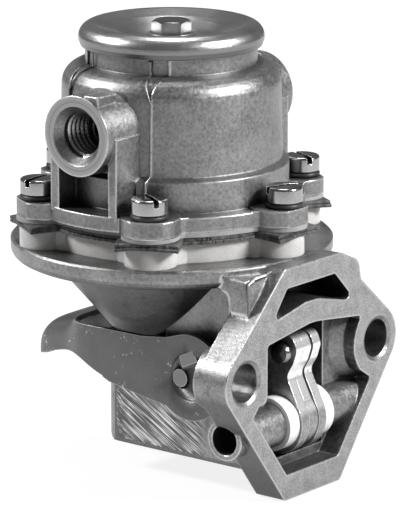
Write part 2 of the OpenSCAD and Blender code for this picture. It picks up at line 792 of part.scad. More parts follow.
module inlet_valve_cage() {
    color("burlywood") inlet_place() valve_cage();
}

module inlet_valve_disc() {
    color([0.2, 0.2, 0.2]) inlet_place() valve_disc();
}

module inlet_valve_spring() {
    color("silver") inlet_place() valve_spring();
}

module outlet_valve_cage() {
    color("burlywood") outlet_place() valve_cage();
}

module outlet_valve_disc() {
    color([0.2, 0.2, 0.2]) outlet_place() valve_disc();
}

module outlet_valve_spring() {
    color("silver") outlet_place() valve_spring();
}

// Diaphragm drive

module diaphragm_lower_plate() {
    color("silver") on_axis() rotate_extrude($fn = 64) polygon([
        [rod_d / 2 - 0.2, spacer_top - seat - 1.2], [14, spacer_top - seat - 1.2],
        [16.4, spacer_top - seat - 2.4], [17, spacer_top - seat - 2.2], [16.6, spacer_top - seat - 0.8],
        [15.4, spacer_top - seat], [rod_d / 2 - 0.2, spacer_top - seat]
    ]);
}

module diaphragm_upper_plate() {
    z = layers_top + seat;
    color("silver") on_axis() rotate_extrude($fn = 64) polygon([
        [rod_d / 2 - 0.2, z], [16, z], [17.4, z + 1.2], [17, z + 1.9], [15.2, z + 1.1],
        [rod_d / 2 - 0.2, z + 1.1]
    ]);
}

module diaphragm_nut() {
    z = layers_top + seat + 1.1;
    color("silver") on_axis() translate([0, 0, z]) difference() {
        cylinder(r = 4.6, h = 2.4, $fn = 6);
        translate([0, 0, -cut]) cylinder(d = rod_d - 0.4, h = 2.4 + 2 * cut);
    }
}

// Rod with a stirrup at its foot, through which the pull link reaches
module pull_rod() {
    foot = window_low - 1.8;
    shoulder = window_top + 1.8;
    neck = spacer_top - seat - 1.2;
    color("gray") on_axis() {
        difference() {
            translate([-link_t / 2 - 2.15, -rod_block_y, foot])
                cube([link_t + 4.3, 2 * rod_block_y, shoulder - foot]);
            translate([-link_t / 2 - 0.45, -rod_block_y - cut, window_low])
                cube([link_t + 0.9, 2 * rod_block_y + 2 * cut, window_top - window_low]);
        }
        translate([0, 0, shoulder]) cylinder(d = rod_d, h = neck - shoulder);
        translate([0, 0, neck]) cylinder(d = rod_d - 0.6, h = layers_top + seat + 3.8 - neck);
    }
}

module rod_seal() {
    color([0.15, 0.15, 0.15]) on_axis() translate([0, 0, bowl_floor - 1.95]) difference() {
        cylinder(r = 5.9, h = 1.85);
        translate([0, 0, -cut]) cylinder(d = rod_d + 2 * run, h = 1.85 + 2 * cut);
    }
}

// Pressed cup over the seal, which is also the foot of the diaphragm spring
module seal_cup() {
    r = bowl_low_r - bowl_wall - 1.7;
    color("silver") on_axis() rotate_extrude() polygon([
        [rod_d / 2 + run, bowl_floor], [r, bowl_floor], [r, bowl_floor + 2.4], [r - 0.8, bowl_floor + 2.4],
        [r - 0.8, bowl_floor + 0.8], [rod_d / 2 + run, bowl_floor + 0.8]
    ]);
}

module diaphragm_spring() {
    z = bowl_floor + 0.8;
    color("lightslategray") on_axis() translate([0, 0, z]) coil(9, 1.6, spacer_top - seat - 1.2 - z, 6);
}

// Rocker and link

// Side form of the rocker in Y and Z, from x0 to x1: hub, drive eye and bent arm
module rocker_form(x0, x1) {
    along_x(x0, x1) translate(pin) circle(hub_r);
    along_x(x0, x1) translate(pin + [0.2, -0.9]) circle(hub_r - 0.1);
    along_x(x0, x1) translate(drive_at) circle(drive_r + 2);
    along_x(x0, x1) polygon(rounded([
        pin + hub_r * [cos(153), sin(153)], pin + [-2.2, 11], pin + [-4.1, 14.1],
        pin + [-5.2, 17.5], pin + [-3.8, 20.8], pin + [1.2, 20.5], pin + [2.2, 15.8],
        pin + [2.4, 11.3], drive_at + [1.6, 3.2], [tail_end, drive_at[1] - 0.6],
        [tail_end, tail_low], [pin_y + 4, tail_low], pin
    ], [0, 2.4, 3, 2.6, 2.2, 2, 4, 4, 2.4, 1.5, 1, 0, 0]));
}

module rocker_plate(x0) {
    difference() {
        rocker_form(x0, x0 + plate_t);
        translate([x0 - cut, pin_y, -pin_drop]) rotate([0, 90, 0])
            cylinder(d = pin_d + 2 * pin_gap, h = plate_t + 2 * cut);
        translate([x0 - cut, rivet_at[0], rivet_at[1]]) rotate([0, 90, 0])
            cylinder(r = rivet_r + 0.05, h = plate_t + 2 * cut);
        translate([x0 - cut, drive_at[0], drive_at[1]]) rotate([0, 90, 0])
            cylinder(r = drive_r + 0.05, h = plate_t + 2 * cut);
    }
}

module rocker_plate_near() {
    color("lightgray") rocker_plate(-stack_half);
}

module rocker_plate_far() {
    color("lightgray") rocker_plate(stack_half - plate_t);
}

// Filler between the plates in the pad, which ends above the link's hub
module rocker_pad_block() {
    x0 = plate_t - stack_half;
    block_t = link_t - 0.5;
    color("lightgray") difference() {
        intersection() {
            rocker_form(x0, x0 + block_t);
            along_x(x0 - cut, x0 + block_t + cut) difference() {
                translate(pin + [-8, 4]) square([11.2, 30]);
                translate(pin) circle(hub_r + run);
            }
        }
        translate([x0 - cut, rivet_at[0], rivet_at[1]]) rotate([0, 90, 0])
            cylinder(r = rivet_r + 0.05, h = block_t + 2 * cut);
    }
}

// Rivet through the pad, with a domed head on the near side
module pad_rivet() {
    x = stack_half + 0.05;
    color("silver") translate([0, rivet_at[0], rivet_at[1]]) rotate([0, 90, 0]) rotate_extrude() polygon(concat(
        [[0, x + 0.9], [2.2, x + 0.9], [2.8, x], [rivet_r, x], [rivet_r, -x], [2.6, -x]],
        arc([0, -x - 0.6], 2.6, 0, -30, 3),
        [[0, -x - 2.2]]
    ));
}

module drive_pin() {
    x = stack_half + 0.05;
    color("silver") translate([-x - 0.8, drive_at[0], drive_at[1]]) rotate([0, 90, 0]) {
        cylinder(r1 = drive_r, r2 = drive_r + 0.8, h = 0.8);
        cylinder(r = drive_r, h = 2 * x + 1.6);
        translate([0, 0, 2 * x + 0.8]) cylinder(r1 = drive_r + 0.8, r2 = drive_r, h = 0.8);
    }
}

module pull_link() {
    lip = axis_y + rod_block_y + 0.6;
    color("lightgray") difference() {
        along_x(-link_t / 2, link_t / 2) {
            translate(pin) circle(link_hub_r);
            polygon([
                [pin_y, link_low], [axis_y - 10, link_low], [axis_y - 7, nose_low], [lip + 1.6, nose_low],
                [lip + 1.6, nose_top + 2.2], [lip + 0.4, nose_top + 2.2], [lip, nose_top],
                [axis_y - 6, nose_top], [primer_y + 2, link_top], [pin_y, link_top]
            ]);
        }
        translate([-link_t, pin_y, -pin_drop]) rotate([0, 90, 0])
            cylinder(d = pin_d + 2 * pin_gap, h = 2 * link_t);
    }
}

module lever_pin() {
    chamfer = 0.6;
    r = pin_d / 2;
    color("silver") translate([0, pin_y, -pin_drop]) rotate([0, 90, 0]) rotate_extrude() polygon([
        [0, -pin_half], [r - chamfer, -pin_half], [r, chamfer - pin_half], [r, pin_half - chamfer],
        [r - chamfer, pin_half], [0, pin_half]
    ]);
}

module pin_washers() {
    color("white") for (side = [-1, 1])
        translate([side * (washer_x + washer_t / 2) - washer_t / 2, pin_y, -pin_drop]) rotate([0, 90, 0])
            difference() {
                cylinder(r = washer_r, h = washer_t);
                translate([0, 0, -cut]) cylinder(d = pin_d + 2 * pin_gap, h = washer_t + 2 * cut);
            }
}

module rocker_return_spring() {
    low = cavity_floor;
    color("lightslategray") translate([0, tail_end - 3.3, low])
        coil(2.7, 0.8, tail_low - low - seat, 4);
}

// Hand primer

// Side outline of the fork's arms and web in Y and Z
module arm_outline() {
    translate(primer) circle(arm_end_r);
    polygon(concat(
        arc(primer, arm_end_r, 96, 76, 3),
        [[primer_y + 7, 4.7], [primer_y + 14, 3.9], [fork_depth - 6, 3.8], [fork_depth + 4, 3.6],
         [fork_depth + 4, -3.2], [fork_depth - 1, -3.2], [fork_depth - 7, -6.2],
         [fork_depth - 13, -8.8], [fork_depth - 22, -10.4]],
        arc(primer, arm_end_r, -50, -96, 4)
    ));
}

// Plan outline of the fork: a U of sheet, open towards the flange
module fork_plan() {
    back = fork_depth + primer_t;
    difference() {
        polygon(rounded([
            [-fork_half, 0], [fork_half, 0], [fork_half, back], [-fork_half, back]
        ], [0, 0, 7, 7], 8));
        polygon(rounded([
            [-fork_in, -cut], [fork_in, -cut], [fork_in, fork_depth], [-fork_in, fork_depth]
        ], [0, 0, 7 - primer_t, 7 - primer_t], 8));
    }
}

// Handle sheet in Y and Z: leaves the web in a bend, slopes down and rolls over to its tip
module handle_section() {
    roll = [handle_reach - 10, bend_at[1] - 9];
    polygon(concat(
        [[fork_depth + primer_t, bend_at[1] - 1]],
        arc(bend_at, bend_r, 180, 65, 5),
        arc(roll, 10 - primer_t, 65, 19, 8),
        arc(roll, 10, 19, 65, 8),
        arc(bend_at, bend_r + primer_t, 65, 180, 5),
        [[fork_depth, bend_at[1] - 1]]
    ));
}

module primer_lever() {
    color("gray") difference() {
        union() {
            difference() {
                intersection() {
                    translate([0, 0, -30]) linear_extrude(60) fork_plan();
                    along_x(-fork_half - cut, fork_half + cut) arm_outline();
                }
                translate([-handle_half, fork_depth - cut, bend_at[1]])
                    cube([2 * handle_half, primer_t + 2 * cut, 10]);
            }
            intersection() {
                along_x(-handle_half, handle_half) handle_section();
                translate([0, 0, -30]) linear_extrude(60) polygon(rounded([
                    [-handle_half - 1, fork_depth - 1], [handle_half + 1, fork_depth - 1],
                    [handle_half - 1, handle_reach + 1], [1 - handle_half, handle_reach + 1]
                ], [0, 0, 4, 4]));
            }
            for (side = [-1, 1]) translate([side * (fork_in + 0.01), primer_y, -primer_drop])
                rotate([0, -side * 90, 0]) cylinder(r1 = 7, r2 = 6.2, h = 0.9);
        }
        for (side = [-1, 1]) translate([side * (fork_half + 0.01), primer_y, -primer_drop])
            rotate([0, -side * 90, 0]) cylinder(r1 = 5.8, r2 = 5.2, h = 0.9);
        tenons(-fork_half - cut, fork_half + cut, 0.05);
    }
}

// Both tenons from x0 to x1: a round one behind the shaft's axis and a tilted flat one above
module tenons(x0, x1, grow) {
    translate([x0, primer_y + round_at[0], round_at[1] - primer_drop]) rotate([0, 90, 0])
        cylinder(r = round_r + grow, h = x1 - x0);
    along_x(x0, x1) translate(primer + tenon_at) rotate(-24)
        square(2 * (tenon_half + [grow, grow]), center = true);
}

// Shaft across the lever box, with a cam over the link, and a flange and two tenons at each end
module primer_shaft() {
    color("silver") {
        translate([-shaft_face, primer_y, -primer_drop]) rotate([0, 90, 0])
            cylinder(d = primer_shaft_d, h = 2 * shaft_face);
        for (side = [-1, 1])
            translate([side * (shaft_boss + 0.15), primer_y, -primer_drop]) rotate([0, side * 90, 0])
                cylinder(r = 6, h = shaft_face - shaft_boss - 0.15);
        along_x(seat - link_t / 2, link_t / 2 - seat) translate(primer) rotate(-65) polygon(rounded([
            [0, -primer_shaft_d / 2 + 0.3], [cam_reach, -1.5], [cam_reach, 1.5],
            [0, primer_shaft_d / 2 - 0.3]
        ], [0, 1, 1, 0]));
        tenons(0.5 - fork_half, 0.5 - shaft_face, 0);
        tenons(shaft_face - 0.5, fork_half - 0.5, 0);
    }
}

// Rubber rings round the shaft, each in a recess of a lever box wall
module shaft_seals() {
    color([0.15, 0.15, 0.15]) for (side = [-1, 1])
        translate([side * (shaft_boss - seal_depth / 2), primer_y, -primer_drop]) rotate([0, 90, 0])
            torus(seal_line_r, seal_wire);
}

lower_body();
upper_body();
top_cover();
cover_gasket();
cover_washer();
cover_bolt();
filter_screen();
clamp_screws();
lock_rings();
spacer_ring();
diaphragm_gasket();
diaphragm_upper_layer();
diaphragm_lower_layer();
diaphragm_upper_plate();
diaphragm_lower_plate();
diaphragm_nut();
pull_rod();
diaphragm_spring();
rod_seal();
seal_cup();
inlet_valve_cage();
inlet_valve_disc();
inlet_valve_spring();
outlet_valve_cage();
outlet_valve_disc();
outlet_valve_spring();
lever_pin();
pin_washers();
rocker_plate_near();
rocker_plate_far();
rocker_pad_block();
pad_rivet();
drive_pin();
pull_link();
rocker_return_spring();
primer_lever();
primer_shaft();
shaft_seals();
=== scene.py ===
# %% [markdown]
# # A mechanical fuel pump
#
# An engine's fuel pump is a casting in two halves with a rubber diaphragm clamped between them.
# A lever in the lower half is rocked by the engine, and a sheet metal arm outside it primes the
# pump by hand. The solids of the pump come ready made, each where it belongs, so this lesson is
# about what makes them look real: the camera, the light, the finishes and the small pieces.
# Blender counts in metres, so lengths in millimetres are multiplied by `mm`. The pump's own axis
# stands upright, `PUMP_Y` behind the mounting face, and both ports lie at the height `PORT_Z`.

# %% Load the frame
import math
import random
import bmesh
import bpy
from mathutils import Matrix, Vector


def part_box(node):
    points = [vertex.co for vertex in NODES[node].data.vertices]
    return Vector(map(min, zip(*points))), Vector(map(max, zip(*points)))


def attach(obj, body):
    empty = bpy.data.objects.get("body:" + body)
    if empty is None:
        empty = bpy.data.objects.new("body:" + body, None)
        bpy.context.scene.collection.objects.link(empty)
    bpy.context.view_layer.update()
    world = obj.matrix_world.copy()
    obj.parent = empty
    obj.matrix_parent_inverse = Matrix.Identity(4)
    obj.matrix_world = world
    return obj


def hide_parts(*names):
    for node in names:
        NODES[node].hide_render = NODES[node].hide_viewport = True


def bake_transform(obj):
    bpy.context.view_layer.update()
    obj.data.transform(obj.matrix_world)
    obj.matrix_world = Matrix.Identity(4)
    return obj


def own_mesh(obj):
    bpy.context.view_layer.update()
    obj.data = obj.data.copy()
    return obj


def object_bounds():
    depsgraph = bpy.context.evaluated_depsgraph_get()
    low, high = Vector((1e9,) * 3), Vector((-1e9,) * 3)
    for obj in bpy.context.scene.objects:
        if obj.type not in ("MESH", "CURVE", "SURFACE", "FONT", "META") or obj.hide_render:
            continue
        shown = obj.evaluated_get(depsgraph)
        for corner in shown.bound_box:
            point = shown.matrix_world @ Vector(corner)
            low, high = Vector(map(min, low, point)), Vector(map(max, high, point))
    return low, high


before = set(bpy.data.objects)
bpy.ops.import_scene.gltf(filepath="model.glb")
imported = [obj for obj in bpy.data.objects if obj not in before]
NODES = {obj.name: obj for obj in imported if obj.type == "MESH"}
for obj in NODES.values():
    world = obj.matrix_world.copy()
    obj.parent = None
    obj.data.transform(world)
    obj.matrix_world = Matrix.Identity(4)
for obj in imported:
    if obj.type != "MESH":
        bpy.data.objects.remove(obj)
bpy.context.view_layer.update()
mm = 0.001
PUMP_Y, PORT_Z = 41.5, 52.8
AXIS_Y = PUMP_Y * mm

# %% [markdown]
# ## The camera
#
# The photograph was taken with a long lens from the front left, a little above the pump. A long
# lens stands far off and draws parallel edges nearly parallel. The numbers were found by fitting
# the ellipses of the bolt holes, the disc and the cover to the picture, and the camera is built
# straight from them: three axes, and a place on the line of sight.

# %% Place the camera
AZIMUTH, ELEVATION = math.radians(-51.71), math.radians(14.0)
DISTANCE, AIM_RIGHT, AIM_UP = 927.84, 8.92, 17.76
FOCAL_PIXELS, PICTURE_PIXELS, SENSOR = 3938.55, 512, 36
back = Vector((math.sin(AZIMUTH) * math.cos(ELEVATION),
               -math.cos(AZIMUTH) * math.cos(ELEVATION), math.sin(ELEVATION)))
right = Vector((math.cos(AZIMUTH), math.sin(AZIMUTH), 0))
up = back.cross(right)
target = Vector((0, PUMP_Y, 0)) * mm + right * AIM_RIGHT * mm + up * AIM_UP * mm

lens = bpy.data.cameras.new("camera")
lens.sensor_fit = "AUTO"
lens.sensor_width = SENSOR
lens.lens = FOCAL_PIXELS * SENSOR / PICTURE_PIXELS
lens.clip_start, lens.clip_end = 0.05, 20
camera = bpy.data.objects.new("camera", lens)
bpy.context.scene.collection.objects.link(camera)
axes = Matrix((right, up, back)).transposed().to_4x4()
camera.matrix_world = Matrix.Translation(target + back * DISTANCE * mm) @ axes
bpy.context.scene.camera = camera
print("lens", round(lens.lens, 1), "mm, distance", round((camera.location - target).length, 3))

# %% [markdown]
# ## Writing finishes as sums
#
# A finish in Blender is a tree of nodes. Wiring it by hand hides the sum behind it, so one small
# class wraps a socket and turns Python's own signs into Math nodes. `1 - mask` then means what it
# says. A second class holds a tree and adds any other node in one call.

# %% Wrap a socket
class Wire:
    """An output socket whose signs add Math nodes."""

    def __init__(self, paint, socket):
        self.paint, self.socket = paint, socket

    def math(self, kind, *values, clamp=False):
        return self.paint.add("ShaderNodeMath", {"operation": kind, "use_clamp": clamp},
                              dict(enumerate(values)))

    def __add__(self, other):
        return self.math("ADD", self, other)

    def __radd__(self, other):
        return self.math("ADD", other, self)

    def __sub__(self, other):
        return self.math("SUBTRACT", self, other)

    def __rsub__(self, other):
        return self.math("SUBTRACT", other, self)

    def __mul__(self, other):
        return self.math("MULTIPLY", self, other)

    def __truediv__(self, other):
        return self.math("DIVIDE", self, other)

    def __rtruediv__(self, other):
        return self.math("DIVIDE", other, self)

    def clamped(self):
        return self.math("ADD", self, 0.0, clamp=True)

    def size(self):
        return self.math("ABSOLUTE", self)

    def ramp(self, low, high):
        """0 below low, 1 above high and a soft curve between; high may be the smaller."""
        a, b, start, end = (low, high, 0.0, 1.0) if low < high else (high, low, 1.0, 0.0)
        return self.paint.add("ShaderNodeMapRange", {"interpolation_type": "SMOOTHSTEP"},
                              {0: self, 1: a, 2: b, 3: start, 4: end})


# %% Hold a tree
class Paint:
    """A node tree being made: add() puts in a node and returns one of its outputs."""

    def __init__(self, tree):
        self.tree = tree
        self.tree.nodes.clear()

    def add(self, kind, settings=None, sockets=None, out=0):
        node = self.tree.nodes.new(kind)
        for key, value in (settings or {}).items():
            setattr(node, key, value)
        for key, value in (sockets or {}).items():
            if isinstance(value, Wire):
                self.tree.links.new(value.socket, node.inputs[key])
            else:
                node.inputs[key].default_value = value
        return Wire(self, node.outputs[out]) if len(node.outputs) else None

    def place(self):
        return self.add("ShaderNodeTexCoord", out="Object")

    def axis(self, letter, normal=False):
        """One coordinate of the place, in metres, or of the face's own direction."""
        source = self.add("ShaderNodeNewGeometry", out="Normal") if normal else self.place()
        return self.add("ShaderNodeSeparateXYZ", None, {0: source}, out=letter)

    def drawn_out(self, turn, stretch):
        """Places turned and then stretched, so that a texture on them runs in streaks."""
        return self.add("ShaderNodeMapping", {"vector_type": "TEXTURE"},
                        {"Vector": self.place(), "Rotation": turn, "Scale": stretch})

    def noise(self, size, detail=3.0, rough=0.5, at=None):
        """Noise whose blotches are about size metres across."""
        return self.add("ShaderNodeTexNoise", None,
                        {"Vector": at or self.place(), "Scale": 1 / size, "Detail": detail,
                         "Roughness": rough})

    def mix(self, factor, low, high):
        """Colour low where factor is 0 and high where it is 1."""
        return self.add("ShaderNodeMix", {"data_type": "RGBA"},
                        {"Factor": factor, 6: low, 7: high}, out=2)

    def turned(self, centre, keep, spacing):
        """Turning marks: noise that changes only with the distance from an axis.

        keep is 1 for each direction that counts and 0 for the one along the axis."""
        flat = self.add("ShaderNodeVectorMath", {"operation": "MULTIPLY"},
                        {0: self.place(), 1: keep})
        reach = self.add("ShaderNodeVectorMath", {"operation": "DISTANCE"},
                         {0: flat, 1: centre}, out="Value")
        spot = self.add("ShaderNodeCombineXYZ", None, {0: reach})
        return self.noise(spacing, 2.0, 0.6, spot)

    def outer_edge(self, reach):
        """1 on an outer edge, 0 on open faces: rays shot into the metal come out again."""
        inside = self.add("ShaderNodeAmbientOcclusion", {"inside": True, "samples": 8},
                          {"Distance": reach}, out="AO")
        return inside.ramp(0.92, 0.55)

    def painted_shade(self, reach, below=0.5, start=-0.1):
        """Painted shade: up to 1 deep in a recess, and up to below on undersides."""
        open_sky = self.add("ShaderNodeAmbientOcclusion", {"samples": 8}, {"Distance": reach},
                            out="AO")
        under = self.axis("Z", normal=True).ramp(start, start - 0.65) * below
        return (open_sky.ramp(0.7, 0.1) + under).clamped()


# %% Close a material
def finish(paint, colour, rough, metal, height=None, depth=0.0, rounded=None, **constants):
    """Wires the surface: colour, roughness and metal, then bump and rounded edges."""
    sockets = {"Base Color": colour, "Roughness": rough, "Metallic": metal}
    normal = None
    if rounded:
        normal = paint.add("ShaderNodeBevel", {"samples": 6}, {"Radius": rounded})
    if height is not None:
        bump = {"Height": height, "Strength": 1.0, "Distance": depth}
        if normal is not None:
            bump["Normal"] = normal
        normal = paint.add("ShaderNodeBump", None, bump)
    if normal is not None:
        sockets["Normal"] = normal
    for key, value in constants.items():
        sockets[key.replace("_", " ")] = value
    surface = paint.add("ShaderNodeBsdfPrincipled", None, sockets)
    paint.add("ShaderNodeOutputMaterial", None, {"Surface": surface})


def new_material(name):
    material = bpy.data.materials.new(name)
    material.use_nodes = True
    return material, Paint(material.node_tree)


def grey(value, warm=0.0):
    """A grey by how much light it gives back, from 0 to 1."""
    return (value * (1 + warm), value, value * (1 - warm), 1)


print("helpers ready")

# %% [markdown]
# ## Studio
#
# The pump was photographed on pure white, in a room that is dimmer than its background: the metal
# has dark sides and bright streaks where soft boxes show in it. So the sky here is a plain grey,
# and only the floor is white. Its material gives off light to rays from the camera, to mirror
# rays and to rays through glass, and is an ordinary pale floor to all others.

# %% Light from the sky
bpy.context.scene.view_settings.view_transform = "Standard"
sky = bpy.data.worlds.new("sky")
bpy.context.scene.world = sky
sky.use_nodes = True
paint = Paint(sky.node_tree)
glow = paint.add("ShaderNodeBackground", None, {"Color": grey(1), "Strength": 0.14})
paint.add("ShaderNodeOutputWorld", None, {"Surface": glow})
print("sky ready")

# %% Floor
FLOOR_R, FLOOR_SIDES, FLOOR_GAP = 0.9, 96, 0.0002
floor_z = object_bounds()[0][2] - FLOOR_GAP
ring = [2 * math.pi * i / FLOOR_SIDES for i in range(FLOOR_SIDES)]
floor_mesh = bpy.data.meshes.new("floor")
floor_mesh.from_pydata([(FLOOR_R * math.cos(a), FLOOR_R * math.sin(a), floor_z) for a in ring],
                       [], [tuple(range(FLOOR_SIDES))])
floor = bpy.data.objects.new("floor", floor_mesh)
bpy.context.scene.collection.objects.link(floor)
material, paint = new_material("pale_floor")
seen = paint.add("ShaderNodeLightPath", out="Is Camera Ray")
for name in ("Is Glossy Ray", "Is Transmission Ray"):
    seen = seen + paint.add("ShaderNodeLightPath", out=name)
plain = paint.add("ShaderNodeBsdfDiffuse", None, {"Color": grey(0.2)})
white = paint.add("ShaderNodeEmission", None, {"Color": grey(1), "Strength": seen * 0.85})
both = paint.add("ShaderNodeAddShader", None, {0: white, 1: plain})
paint.add("ShaderNodeOutputMaterial", None, {"Surface": both})
floor_mesh.materials.append(material)
print("floor at", round(floor_z, 4))


# %% Soft boxes
def soft_box(name, sideways, upwards, towards, width, watts):
    """A square lamp, placed from the target in the camera's own directions, in metres."""
    lamp = bpy.data.lights.new(name, "AREA")
    lamp.shape, lamp.size, lamp.energy = "SQUARE", width, watts
    holder = bpy.data.objects.new(name, lamp)
    holder.location = target + right * sideways + up * upwards + back * towards
    aim = (holder.location - target).to_track_quat("Z", "Y")
    holder.rotation_euler = aim.to_euler()
    bpy.context.scene.collection.objects.link(holder)


soft_box("key_lamp", sideways=0.85, upwards=0.5, towards=0.45, width=0.28, watts=17.0)
soft_box("left_lamp", sideways=-0.85, upwards=0.65, towards=0.1, width=0.25, watts=11.0)
soft_box("top_lamp", sideways=0.0, upwards=0.9, towards=0.0, width=0.25, watts=3.5)
print("three lamps")

# %% [markdown]
# ## Cast aluminium
#
# Both housings are die castings, tumbled after casting. Their skin is a fine grain of lighter and
# darker specks, with a few wider clouds, and the tumbling rubs every outer edge bright. The edge
# mask is found by shooting short rays into the metal: close to an outer edge they come out again.
# The Bevel node bends the light over each edge, as a real casting's small radius does.

# %% Cast finish
def cast_aluminium(name, tone, machined, fettled=None, mottle=0.35, grain=0.32 * mm):
    """A die casting's skin. machined and fettled each return a mask and a pattern of marks."""
    material, paint = new_material(name)
    fine = paint.noise(grain, detail=4.0, rough=0.65)
    specks = paint.noise(grain * 2.6, detail=2.0)
    clouds = paint.noise(9 * mm, detail=3.0)
    stains = paint.noise(3.2 * mm, detail=4.0, rough=0.6).ramp(0.56, 0.7)
    rubbed = paint.outer_edge(0.7 * mm)
    shade = (fine - 0.5) * 0.55 + (specks - 0.5) * 0.55 + (clouds - 0.5) * 0.4 + 0.5
    colour = paint.mix(shade.ramp(0.2, 0.8), grey(tone * 0.55), grey(tone * 1.4))
    colour = paint.mix(stains * mottle, colour, grey(tone * 0.4))
    height = fine * 0.6 + specks * 0.7
    rough = 0.41 + (specks - 0.5) * 0.25
    if fettled:
        ground, lines = fettled(paint)
        patches = paint.noise(5 * mm, 2.0).ramp(0.3, 0.6)
        colour = paint.mix(ground, colour, grey(tone * 0.45))
        strokes = ground * (patches * 0.5 + 0.5) * lines.ramp(0.46, 0.6)
        colour = paint.mix(strokes * 0.9, colour, grey(0.85))
        height = height + ground * (lines - 0.5) * 1.2
    face, marks = machined(paint)
    colour = paint.mix(face, colour, grey(tone * 1.5))
    colour = paint.mix(face * marks.ramp(0.42, 0.6) * 0.7, colour, grey(tone * 0.7))
    height = height * (1 - face * 0.85) + face * marks * 0.5
    colour = paint.mix(rubbed * 0.7, colour, grey(0.7))
    # Painted shade: the casting is darkened deep in recesses and on its undersides.
    colour = paint.mix(paint.painted_shade(14 * mm, 0.85) * 0.8, colour, grey(tone * 0.12))
    finish(paint, colour, rough - rubbed * 0.12, 0.88, height, 0.07 * mm, 0.5 * mm)
    return material


# %% Machined and fettled places
def port_faces(paint):
    """Both port faces are turned flat, and lie further out than anything else."""
    face = paint.axis("X").size().ramp(34.25 * mm, 34.38 * mm)
    return face, paint.turned((0, AXIS_Y, PORT_Z * mm), (0, 1, 1), 0.35 * mm)


def flange_face(paint):
    """The mounting face is lapped flat, only where the metal looks at -Y, and is stained."""
    looking = paint.axis("Y", normal=True).ramp(-0.95, -0.99)
    face = looking * paint.axis("Y").ramp(0.3 * mm, 0.1 * mm)
    return face, paint.noise(0.45 * mm, 3.0, 0.6) * 0.6 + paint.noise(3.5 * mm, 4.0, 0.7) * 0.4


def box_sides(paint):
    """The sides of the lever box were ground in slanting strokes; the strokes fade behind and
    below as painted shade.
    """
    slant = paint.drawn_out((math.radians(30), 0, 0), (1, 40, 1))
    lines = paint.noise(0.34 * mm, 2.0, 0.6, slant)
    side_face = paint.axis("X", normal=True).size().ramp(0.9, 0.97)
    low = paint.axis("Z").ramp(-4 * mm, -7 * mm)
    deep = paint.axis("Y").ramp(19 * mm, 24 * mm)
    # Painted shade: the bright strokes are made fainter towards the back and the bottom of the
    # box.
    worn = paint.axis("Y").ramp(51 * mm, 43 * mm) * paint.axis("Z").ramp(-28 * mm, -22 * mm)
    return side_face * low * deep, lines * (worn * 0.35 + 0.65)


# %% Give finishes to nodes
def give(material, *nodes):
    """Puts a finish on CAD nodes, whose meshes stay as they are."""
    for node in nodes:
        mesh = NODES[node].data
        mesh.materials.clear()
        mesh.materials.append(material)
    print(material.name, "on", ", ".join(nodes))


give(cast_aluminium("cast_lower", 0.27, flange_face, box_sides, mottle=0.6), "lower_body")
give(cast_aluminium("cast_upper", 0.26, port_faces, mottle=0.12), "upper_body")

# %% [markdown]
# ## Sheet and bar metal
#
# The cover and the primer's fork are pressed from sheet: smooth, satin, with bright cut edges and
# faint scuffs. Screws and the cover bolt are bright zinc. One function makes them all, because
# they differ only in tone, in gloss, and in how much they are scuffed.

# %% Satin metal
def satin_metal(name, tone, rough, scuffs=0.0, stretch=(1, 1, 1), metal=1.0, edge=0.3 * mm,
                shaded_below=-0.1, grain=0.25):
    """Pressed or turned metal; shade is painted in recesses and where the face's direction has its
    Z below shaded_below.
    """
    material, paint = new_material(name)
    at = paint.drawn_out((0, 0, 0), stretch)
    fine = paint.noise(0.5 * mm, 3.0, 0.6, at)
    wide = paint.noise(6 * mm, 3.0)
    rubbed = paint.outer_edge(edge)
    shade = (fine - 0.5) * 0.3 + (wide - 0.5) * 0.35 + 0.5
    colour = paint.mix(shade.ramp(0.25, 0.75), grey(tone * 0.8), grey(tone * 1.2))
    if scuffs:
        marks = paint.noise(1.3 * mm, 5.0, 0.75).ramp(0.6, 0.68)
        marks = marks * paint.noise(9 * mm).ramp(0.46, 0.56)
        colour = paint.mix(marks * scuffs, colour, grey(0.85))
    colour = paint.mix(rubbed * 0.6, colour, grey(0.7))
    # Painted shade: darkest deep in recesses and on faces turned downwards.
    colour = paint.mix(paint.painted_shade(6 * mm, 0.9, shaded_below) * 0.85, colour, grey(tone * 0.12))
    finish(paint, colour, rough + (fine - 0.5) * 0.12 + (wide - 0.5) * 0.08, metal,
           fine, 0.05 * mm * grain, 0.2 * mm)
    return material


# The cover's painted shade begins on faces that still lean a little upwards.
give(satin_metal("pressed_cover", 0.44, 0.32, shaded_below=0.3, grain=1.0), "top_cover",
     "cover_washer", "seal_cup", "diaphragm_upper_plate", "diaphragm_lower_plate")
give(satin_metal("primer_sheet", 0.14, 0.42, scuffs=0.9, metal=0.6), "primer_lever")
bright_zinc = satin_metal("bright_zinc", 0.36, 0.2)
give(bright_zinc, "cover_bolt", "pad_rivet", "drive_pin", "diaphragm_nut")
give(satin_metal("shaft_ends", 0.2, 0.38, grain=1.0), "primer_shaft")
give(satin_metal("ground_pin", 0.3, 0.3), "lever_pin", "pull_rod")
flash_metal = satin_metal("flash_metal", 0.24, 0.45, edge=0.04 * mm, grain=1.0)

# %% [markdown]
# ## Rocker
#
# The rocker is riveted up from steel plates. Its front edge is worn bright and smooth by the
# engine's cam, and its sides keep the darker skin of the rolled plate.

